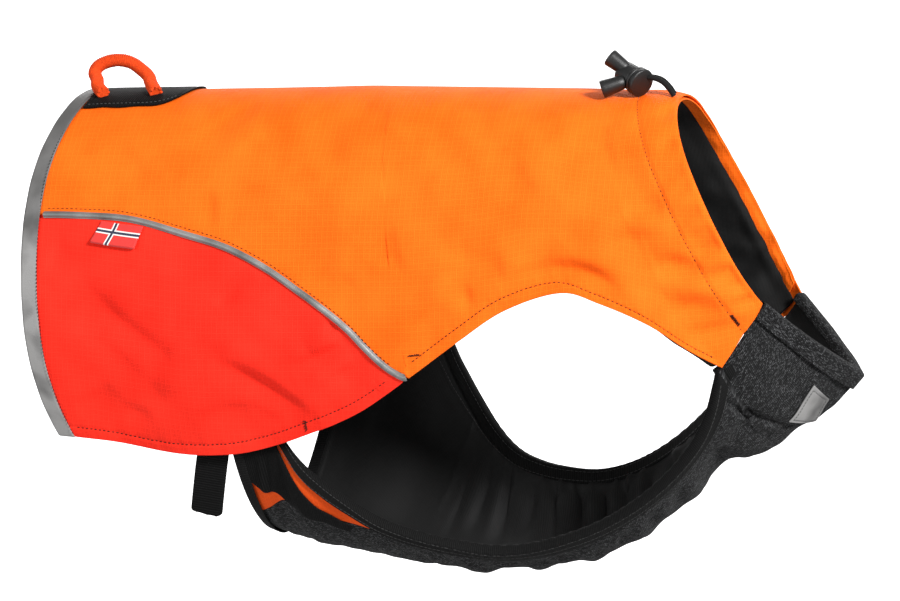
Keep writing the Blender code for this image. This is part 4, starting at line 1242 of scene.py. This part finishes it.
rope = {"strandRadius": 0.85, "reach": 3.62, "strands": 7, "turns": 9.5, "core": 3.7,
        "route": [(-196.0, -28.0, -6.8), (-203.0, -19.5, -3.0), (-206.5, -11.5, 1.2), (-209.4, -8.0, 5.4),
                  (-207.3, -6.0, 10.0), (-200.7, -5.0, 13.2), (-192.5, -5.0, 14.2), (-184.3, -5.5, 12.6),
                  (-177.0, -7.0, 8.4), (-170.7, -10.0, 3.8), (-166.5, -16.5, -0.8), (-159.5, -26.5, -6.0)]}


def tubeMesh(lines, radius, sides):
    # Points and faces of closed tubes round several lines
    points, faces, uvs = [], [], []
    for line in lines:
        start = sum(len(p) for p in points)
        a, b = tubeFrame(line)
        turns = np.arange(sides) * 2 * math.pi / sides
        ring = a[:, None, :] * np.cos(turns)[None, :, None] + b[:, None, :] * np.sin(turns)[None, :, None]
        points.append((line[:, None, :] + ring * radius).reshape(-1, 3))
        run = np.concatenate([[0], np.cumsum(np.linalg.norm(np.diff(line, axis=0), axis=1))])
        uv = np.stack(np.broadcast_arrays(run[:, None], (turns * radius)[None, :]), axis=2)
        uvs.append(uv.reshape(-1, 2))
        for i in range(len(line) - 1):
            for k in range(sides):
                p, q = start + i * sides + k, start + i * sides + (k + 1) % sides
                faces.append((p, q, q + sides, p + sides))
        faces.append(tuple(start + k for k in reversed(range(sides))))
        last = start + (len(line) - 1) * sides
        faces.append(tuple(last + k for k in range(sides)))
    return np.concatenate(points), faces, np.concatenate(uvs)


def makeRope():
    # A laid cord: strands wound round a core
    line = through(rope["route"], 300)
    a, b = tubeFrame(line)
    run = np.linspace(0, 1, len(line))
    strands = []
    for k in range(rope["strands"]):
        turn = run * rope["turns"] * 2 * math.pi + k * 2 * math.pi / rope["strands"]
        reach = rope["reach"] + 0.12 * np.sin(run * 57.0 + k)
        strands.append(line + a * (reach * np.cos(turn))[:, None] + b * (reach * np.sin(turn))[:, None])
    points, faces, uvs = tubeMesh(strands, rope["strandRadius"], 6)
    corePoints, coreFaces, coreUvs = tubeMesh([line[::3]], rope["core"], 14)
    faces += [tuple(i + len(points) for i in face) for face in coreFaces]
    return addMesh("ropeHandle", np.concatenate([points, corePoints]), faces, ropeYarn,
                   np.concatenate([uvs, coreUvs]))


ropeHandle = place(makeRope(), "orange_rope", "rope_handle")
print("rope and straps made")

# Drawcord, its lock and its ends
cordRoutes = {
    "drawcordRight": [(186.5, -23.5, -3.8), (183.5, -24.2, 0.6), (179.0, -25.2, 5.2), (173.0, -26.0, 7.6),
                      (165.5, -26.1, 8.0), (158.0, -26.3, 7.6), (152.5, -27.0, 5.6)],
    "drawcordLeft": [(186.0, -18.2, -2.8), (183.0, -19.2, 1.8), (178.5, -20.5, 6.2), (173.0, -21.7, 8.0),
                     (165.5, -21.9, 8.2), (158.5, -21.6, 8.8), (155.8, -21.4, 10.8), (153.0, -21.0, 13.6)]}
barrels = {"cordEndRight": ((155.5, -27.5, 5.2), (-14.5, -3.5, -5.2), "cord_end_right"),
           "cordEndLeft": ((156.8, -21.5, 11.2), (-0.80, 0.05, 0.58), "cord_end_left")}
drawcord = {"radius": 1.6, "points": 40}


def addPolyline(curve, points):
    spline = curve.splines.new("POLY")
    spline.points.add(len(points) - 1)
    for point, spot in zip(spline.points, toMetres(points)):
        point.co = (*spot, 1.0)


def makeCord(name):
    route = through(cordRoutes[name], drawcord["points"])
    curve = bpy.data.curves.new(name, "CURVE")
    curve.dimensions = "3D"
    curve.bevel_depth = drawcord["radius"] * mm
    curve.bevel_resolution = 4
    curve.use_fill_caps = True
    addPolyline(curve, route)
    curve.materials.append(cordYarn)
    return addObject(name, curve), float(np.sum(np.linalg.norm(np.diff(route, axis=0), axis=1)))


def turnedMesh(name, profile, base, axis, finish, sides):
    # A turned form: profile holds pairs of height and radius along the axis
    axis = np.array(axis, float) / np.linalg.norm(axis)
    helper = np.array([0.0, 1.0, 0.0]) if abs(axis[1]) < 0.9 else np.array([1.0, 0.0, 0.0])
    first = np.cross(axis, helper)
    first /= np.linalg.norm(first)
    second = np.cross(axis, first)
    turns = np.arange(sides) * 2 * math.pi / sides
    points, faces = [], []
    for height, radius in profile:
        points.append(np.array(base) + axis * height + first * (radius * np.cos(turns))[:, None]
                      + second * (radius * np.sin(turns))[:, None])
    for i in range(len(profile) - 1):
        for k in range(sides):
            p, q = i * sides + k, i * sides + (k + 1) % sides
            faces.append((p, q, q + sides, p + sides))
    faces.append(tuple(reversed(range(sides))))
    faces.append(tuple(range((len(profile) - 1) * sides, len(profile) * sides)))
    return addMesh(name, np.concatenate(points), faces, finish, smoothAngle=35)


def rounded(start, end, radius, corner):
    # Profile of a round bar with rounded ends
    found = [(start + corner * (1 - math.cos(t)), radius - corner * (1 - math.sin(t)))
             for t in np.linspace(0, math.pi / 2, 5)]
    found += [(end - corner * (1 - math.sin(t)), radius - corner * (1 - math.cos(t)))
              for t in np.linspace(0, math.pi / 2, 5)]
    return found


lock = {"radius": 9.2, "length": 21.0, "middle": (160.4, -23.1, 6.8), "axis": (0.72, -0.535, -0.316)}


def makeLock():
    # A plain body behind, a ring, a groove and a fat rounded cap in front
    r, h = lock["radius"], lock["length"]
    profile = rounded(0, h * 0.60, r * 0.88, 1.4) + rounded(h * 0.62, h * 0.72, r * 1.0, 0.9)
    profile += [(h * 0.725, r * 0.90), (h * 0.765, r * 0.90), (h * 0.77, r * 1.0), (h * 0.85, r * 1.02)]
    profile += [(h * 0.85 + 1.3 * math.sin(t), r * 1.02 - 1.3 * (1 - math.cos(t)))
                for t in np.linspace(0.2, math.pi / 2, 7)]
    profile += [(h * 0.85 + 1.3 + 0.7 * math.sin(s), (r - 1.3) * math.cos(s)) for s in (0.3, 0.8, 1.2, 1.45)]
    axis = np.array(lock["axis"]) / np.linalg.norm(lock["axis"])
    return turnedMesh("cordLock", profile, np.array(lock["middle"]) - axis * h / 2, axis, blackAcetal, 56)


cordLock = place(makeLock(), "black_plastic", "cord_lock")
barrelShape = [(0.0, 2.6), (0.3, 3.6), (1.2, 4.3), (4.0, 4.8), (9.0, 5.3), (13.4, 5.7), (14.8, 5.75),
               (15.4, 5.6), (15.7, 5.2), (15.6, 4.7), (15.2, 4.3), (14.4, 3.9), (14.2, 2.0), (14.2, 0.6)]
cordEnds = []
for barrelName, (start, axis, node) in barrels.items():
    barrel = turnedMesh(barrelName, barrelShape, start, axis, blackAcetal, 28)
    cordEnds.append(place(barrel, "black_plastic", node))

for cordName, node, end in (("drawcordRight", "drawcord_right", cordEnds[0]),
                            ("drawcordLeft", "drawcord_left", cordEnds[1])):
    cordPiece, cordLength = makeCord(cordName)
    place(cordPiece, "black_webbing", node)
print("drawcord made")


# Labels

def flagMaterial():
    # Woven satin label: red ground with a white cross and a dark blue cross inside it
    made, tree, shader = newMaterial("woven label", 0.55, Sheen_Weight=0.2)
    uv = addNode(tree, "ShaderNodeUVMap", uv_map="cloth").outputs[0]
    split = addNode(tree, "ShaderNodeSeparateXYZ", [(0, uv)])

    def bar(socket, centre, half):
        off = combine(tree, "SUBTRACT", socket, centre)
        off = addNode(tree, "ShaderNodeMath", [(0, off)], operation="ABSOLUTE").outputs[0]
        return combine(tree, "LESS_THAN", off, half)
    upX, upY = flag["crossX"] * mm, flag["crossY"] * mm
    white = combine(tree, "MAXIMUM", bar(split.outputs[0], upX, flag["white"] * mm),
                    bar(split.outputs[1], upY, flag["white"] * mm))
    blue = combine(tree, "MAXIMUM", bar(split.outputs[0], upX, flag["blue"] * mm),
                   bar(split.outputs[1], upY, flag["blue"] * mm))
    thread = threadWave(tree, uv, 1, 0.0007)
    red = colourMix(tree, thread, linear("#c81f1c"), linear("#e23128"))
    colour = colourMix(tree, white, red, linear("#e9e6e2"))
    colour = colourMix(tree, blue, colour, linear("#17223f"))
    tree.links.new(colour, shader.inputs["Base Color"])
    finishBump(tree, shader, thread, 0.0001)
    return made


flag = {"start": 1.58, "end": 2.28, "drop": 13.5, "top": 3.2, "crossX": 10.5, "crossY": -1.2, "white": 1.7,
        "blue": 0.8, "lean": 0.13}


def makeFlagLabel():
    share = float(pipingShare(1.9, -1)[0])
    at = np.linspace(flag["start"], flag["end"], 50)
    length = ribLength(at)
    top = share + flag["top"] / length + 0.012 * (at - flag["start"])
    run = np.linspace(0, 1, 30)
    shares = -(top[:, None] + run[None, :] * (flag["drop"] / length)[:, None])
    points, out = np.zeros(shares.shape + (3,)), np.zeros(shares.shape + (3,))
    lift = np.zeros(shares.shape)
    for k in range(len(run)):  # each row of threads further down sits further back
        row = at - flag["lean"] * run[k]
        column = shares[:, k:k + 1]
        spot = body(row, column)
        points[:, k], out[:, k] = spot[:, 0], normals(body, row, column)[:, 0]
        lift[:, k] = shellRelief(spot, row, column)[:, 0]
    # The label's lower fold stands off the cloth
    curl = 2.0 * run[None, :] ** 2 + 0.5 * np.sin(run * 3.0 + 0.5)[None, :] * np.sin(at * 6.0)[:, None]
    outer = points + out * (1.5 + lift + curl)[:, :, None]
    inner = points + out * (0.6 + lift + 0.15 * curl)[:, :, None]
    return clothWall("flagLabel", outer, inner, flagMaterial(), gridUv(points), 0.9)


flagLabel = place(makeFlagLabel(), "flag_label", "flag_label")


patchCorners = [(17.62, -0.33), (18.42, -0.37), (17.95, -0.04), (18.40, -0.13)]  # row and share


def patchSpot(a, b):
    # Row and share of a place on the patch; a and b run from 0 to 1 over it
    one, two, three, four = np.array(patchCorners)
    a, b = a[..., None], b[..., None]
    return (1 - a) * ((1 - b) * one + b * three) + a * ((1 - b) * two + b * four)


def patchCurl(a, b):
    return 0.9 * np.sin(a * 2.6 + b * 3.4) * b


def makeChestPatch():
    steps = 46
    a, b = np.linspace(0, 1, steps)[:, None], np.linspace(0, 1, steps)[None, :]
    spot = patchSpot(a, b)
    points, out = np.zeros((steps, steps, 3)), np.zeros((steps, steps, 3))
    for k in range(steps):
        points[:, k] = lower(spot[:, k, 0], spot[:, k, 1:2])[:, 0]
        out[:, k] = normals(lower, spot[:, k, 0], spot[:, k, 1:2])[:, 0]
    off = np.minimum(np.minimum(a, 1 - a), np.minimum(b, 1 - b)) * 26
    dent = -0.4 * np.exp(-((off - 2.0) / 0.6) ** 2)
    curl = patchCurl(a, b)
    outer = points + out * (1.9 + dent + curl)[:, :, None]
    inner = points + out * (0.9 + curl)[:, :, None]
    return clothWall("chestPatch", outer, inner, reflectiveTape, gridUv(points), 0.6)


chestPatch = place(makeChestPatch(), "grey_reflective", "chest_patch")
print("labels made")


# Stitches: one tree of nodes sets a small thread lump at even steps along a line

def stitchTree():
    tree = bpy.data.node_groups.new("stitchRow", "GeometryNodeTree")
    face = tree.interface
    face.new_socket("Geometry", in_out="INPUT", socket_type="NodeSocketGeometry")
    for name, value in (("Pitch", 0.003), ("Length", 0.0022), ("Thickness", 0.0006)):
        socket = face.new_socket(name, in_out="INPUT", socket_type="NodeSocketFloat")
        socket.default_value = value
    face.new_socket("Thread", in_out="INPUT", socket_type="NodeSocketMaterial")
    face.new_socket("Geometry", in_out="OUTPUT", socket_type="NodeSocketGeometry")
    given = addNode(tree, "NodeGroupInput")
    result = addNode(tree, "NodeGroupOutput")
    steps = addNode(tree, "GeometryNodeCurveToPoints", [("Curve", given.outputs["Geometry"]),
                                                        ("Length", given.outputs["Pitch"])], mode="LENGTH")
    lump = addNode(tree, "GeometryNodeMeshUVSphere", [("Segments", 6), ("Rings", 4), ("Radius", 0.5)])
    size = addNode(tree, "ShaderNodeCombineXYZ", [(0, given.outputs["Thickness"]),
                                                  (1, given.outputs["Thickness"]),
                                                  (2, given.outputs["Length"])])
    shaped = addNode(tree, "GeometryNodeTransform", [("Geometry", lump.outputs[0]),
                                                     ("Scale", size.outputs[0])])
    laid = addNode(tree, "GeometryNodeInstanceOnPoints", [("Points", steps.outputs["Points"]),
                                                          ("Instance", shaped.outputs[0]),
                                                          ("Rotation", steps.outputs["Rotation"])])
    real = addNode(tree, "GeometryNodeRealizeInstances", [("Geometry", laid.outputs[0])])
    smoothed = addNode(tree, "GeometryNodeSetShadeSmooth", [("Geometry", real.outputs[0])])
    dyed = addNode(tree, "GeometryNodeSetMaterial", [("Geometry", smoothed.outputs[0]),
                                                     ("Material", given.outputs["Thread"])])
    tree.links.new(dyed.outputs[0], result.inputs[0])
    return tree


stitchNodes = stitchTree()


def stitchRows(name, lines, thread, pitch=3.0, length=2.0, thickness=0.75):
    # lines: lists of points in millimetres on the face of the cloth
    curve = bpy.data.curves.new(name + "Lines", "CURVE")
    curve.dimensions = "3D"
    for line in lines:
        addPolyline(curve, line)
    guide = addObject(name + "Lines", curve)
    modifier = guide.modifiers.new("stitches", "NODES")
    modifier.node_group = stitchNodes
    sockets = {item.name: item.identifier for item in stitchNodes.interface.items_tree
               if item.in_out == "INPUT"}
    modifier[sockets["Pitch"]] = pitch * mm
    modifier[sockets["Length"]] = length * mm
    modifier[sockets["Thickness"]] = thickness * mm
    modifier[sockets["Thread"]] = thread
    bpy.context.view_layer.update()
    graph = bpy.context.evaluated_depsgraph_get()
    mesh = bpy.data.meshes.new_from_object(guide.evaluated_get(graph), depsgraph=graph)
    guide.modifiers.remove(modifier)
    bpy.data.objects.remove(guide, do_unlink=True)
    return addObject(name, mesh)


def onShell(at, share, height=0.1):
    at, share = np.asarray(at, float), np.asarray(share, float)[:, None]
    points, out = body(at, share), normals(body, at, share)
    return (points + out * (shellRelief(points, at, share) + height)[:, :, None])[:, 0]


def hemLine(side, start, end, count):
    at = np.linspace(start, end, count)
    return onShell(at, side * (1 - hemWidth / ribLength(at, side)))


hemLines, redHemLines = [], []
for side in (-1, 1):
    redHemLines.append(hemLine(side, 0.5, 6.55, 260))
    hemLines.append(hemLine(side, 7.15, 13.9, 400))
    casingShares = np.linspace(0.03, 0.985, 200)
    hemLines.append(onShell(np.full(200, places["casing"]), side * casingShares))
hemStitches = place(stitchRows("hemStitches", hemLines, darkThread), "orange_nylon")
redHemStitches = place(stitchRows("redHemStitches", redHemLines, darkThread), "red_nylon")
tapeAt = np.full(420, (tapes["rear"] - 1.6) / gaps["rib"])
tapeShares = np.linspace(-0.985, 0.985, 420)
tapeRow = [onShell(tapeAt, tapeShares, 1.55)]
tapeStitches = place(stitchRows("tapeStitches", tapeRow, blackThread, 2.4, 1.6, 0.5), "grey_reflective")
pipingLines = []
for side in (-1, 1):
    at = np.linspace(0.55, 6.7, 300)
    pipingLines.append(onShell(at, side * (pipingShare(at, side) - 4.2 / ribLength(at, side))))
pipingStitches = place(stitchRows("pipingStitches", pipingLines, darkThread, 3.2, 2.0, 0.5), "orange_nylon")


def makeTack(at, shareA, shareB, width, turns):
    # A zigzag of thread that locks a seam's end
    run = np.linspace(0, 1, turns)
    return onShell(at + width * (np.arange(turns) % 2 - 0.5), shareA + (shareB - shareA) * run, 0.2)


# First and last rib, first and last share, width and number of turns
tackTable = [(5.0, 5.0, 0.966, 0.99, 0.04, 9), (7.10, 7.28, 0.947, 0.962, 0.03, 11),
             (14.97, 14.97, 0.93, 0.972, 0.07, 13)]
tackRows = [makeTack(np.linspace(start, end, turns), side * shareA, side * shareB, width, turns)
            for start, end, shareA, shareB, width, turns in tackTable for side in (-1, 1)]
tacks = place(stitchRows("barTacks", tackRows, darkThread, 1.1, 1.3, 0.8), "orange_nylon")

handleRun = np.linspace(0.06, 0.90, 130)
handleAt = handle["start"] + handleRun * (handle["end"] - handle["start"])
handleHalf = (handleWidth(handleRun) - 2.8) / ribLength(handleAt)
handleLines = [onShell(handleAt, side * handleHalf, handle["high"] + 0.15) for side in (-1, 1)]
handleStitches = place(stitchRows("patchStitches", handleLines, greyThread, 2.8, 1.9, 0.6), "black_webbing")
legRows = {"starts": ((-1, 2.3), (1, 4.4)), "end": 16.7, "insets": (1.2, 8.6), "outside": 1.6, "inside": 2.1,
           "points": 300}
foldLines = []
for side, first in legRows["starts"]:
    at = np.linspace(first, legRows["end"], legRows["points"])
    for inset in legRows["insets"]:
        share = np.full((legRows["points"], 1), side * (1 - inset / halfWidths["binding"]))
        spot, way = lower(at, share), normals(lower, at, share)
        foldLines.append((spot + way * legRows["outside"])[:, 0])
        foldLines.append((spot - way * (lowerStack + legRows["inside"]))[:, 0])
bindingStitches = place(stitchRows("bindingStitches", foldLines, foldThread, 2.9, 2.6, 0.45), "black_webbing")
edge = np.linspace(0.09, 0.91, 40)
border = [(a, 0.08) for a in edge] + [(0.92, b) for b in edge] + [(a, 0.92) for a in edge[::-1]]
border = np.array(border + [(0.08, b) for b in edge[::-1]])
around = patchSpot(border[:, 0], border[:, 1])
rise = 1.75 + patchCurl(border[:, 0], border[:, 1])
labelLine = (lower(around[:, 0], around[:, 1:2])
             + normals(lower, around[:, 0], around[:, 1:2]) * rise[:, None, None])[:, 0]
labelStitches = place(stitchRows("labelStitches", [labelLine], greyThread, 2.2, 1.5, 0.5), "grey_reflective")
print("stitches made")


# Studio: a pale floor far below, a lit sheet of paper well behind, and three lamps; in metres
studio = {"size": 40.0, "floorZ": -1.82, "away": 6.4, "halfWidth": 8.0, "top": 5.4, "gap": 0.002,
          "floor": "#e6e6e6", "paper": "#ffffff", "glow": 1.0, "ambient": 0.40}
lamps = {"aim": (0.03, 0.0, -0.15),  # each with its place, watts and diameter
         "key": ((1.75, -1.35, 1.05), 90.0, 0.5), "fill": ((-1.2, -1.9, 0.3), 16.0, 0.8),
         "back": ((-0.4, 1.8, 0.9), 12.0, 1.2)}


def makeStage():
    # A wide pale floor, and a lit sheet of white paper well behind the vest
    white = linear(studio["paper"])
    paper = newMaterial("studio paper", 0.9, Base_Color=linear(studio["floor"]))[0]
    lit = newMaterial("lit studio paper", 0.9, Base_Color=white, Emission_Color=white,
                      Emission_Strength=studio["glow"])[0]
    size, floorZ = studio["size"], studio["floorZ"]
    addStage("floor", [(-size, -size, floorZ), (size, -size, floorZ), (size, size, floorZ),
                       (-size, size, floorZ)], paper)
    turn = math.radians(view["azimuth"])
    middle = Vector((-math.sin(turn), math.cos(turn), 0)) * studio["away"]
    side = Vector((math.cos(turn), math.sin(turn), 0)) * studio["halfWidth"]
    corners = [middle - side, middle + side]
    addStage("backdrop", [(c.x, c.y, floorZ + studio["gap"]) for c in corners]
             + [(c.x, c.y, studio["top"]) for c in reversed(corners)], lit)


def addStage(name, corners, finish):
    mesh = bpy.data.meshes.new(name)
    mesh.from_pydata(corners, [], [(0, 1, 2, 3)])
    mesh.materials.append(finish)
    made = addObject(name, mesh)


def addLamp(name, spot, aim, power, size):
    data = bpy.data.lights.new(name, "AREA")
    data.shape = "DISK"
    data.energy, data.size = power, size
    lamp = addObject(name, data)
    lamp.location = spot
    lamp.rotation_euler = (Vector(aim) - Vector(spot)).to_track_quat("-Z", "Y").to_euler()


def makeLight():
    for name in ("key", "fill", "back"):
        spot, power, size = lamps[name]
        addLamp(name, spot, lamps["aim"], power, size)
    world = bpy.data.worlds.new("studio")
    world.use_nodes = True
    ground = world.node_tree.nodes["Background"]
    ground.inputs[0].default_value = (1.0, 1.0, 1.0, 1.0)
    ground.inputs[1].default_value = studio["ambient"]
    bpy.context.scene.world = world
    bpy.context.scene.view_settings.view_transform = "Standard"


makeStage()
makeLight()
print("studio made")
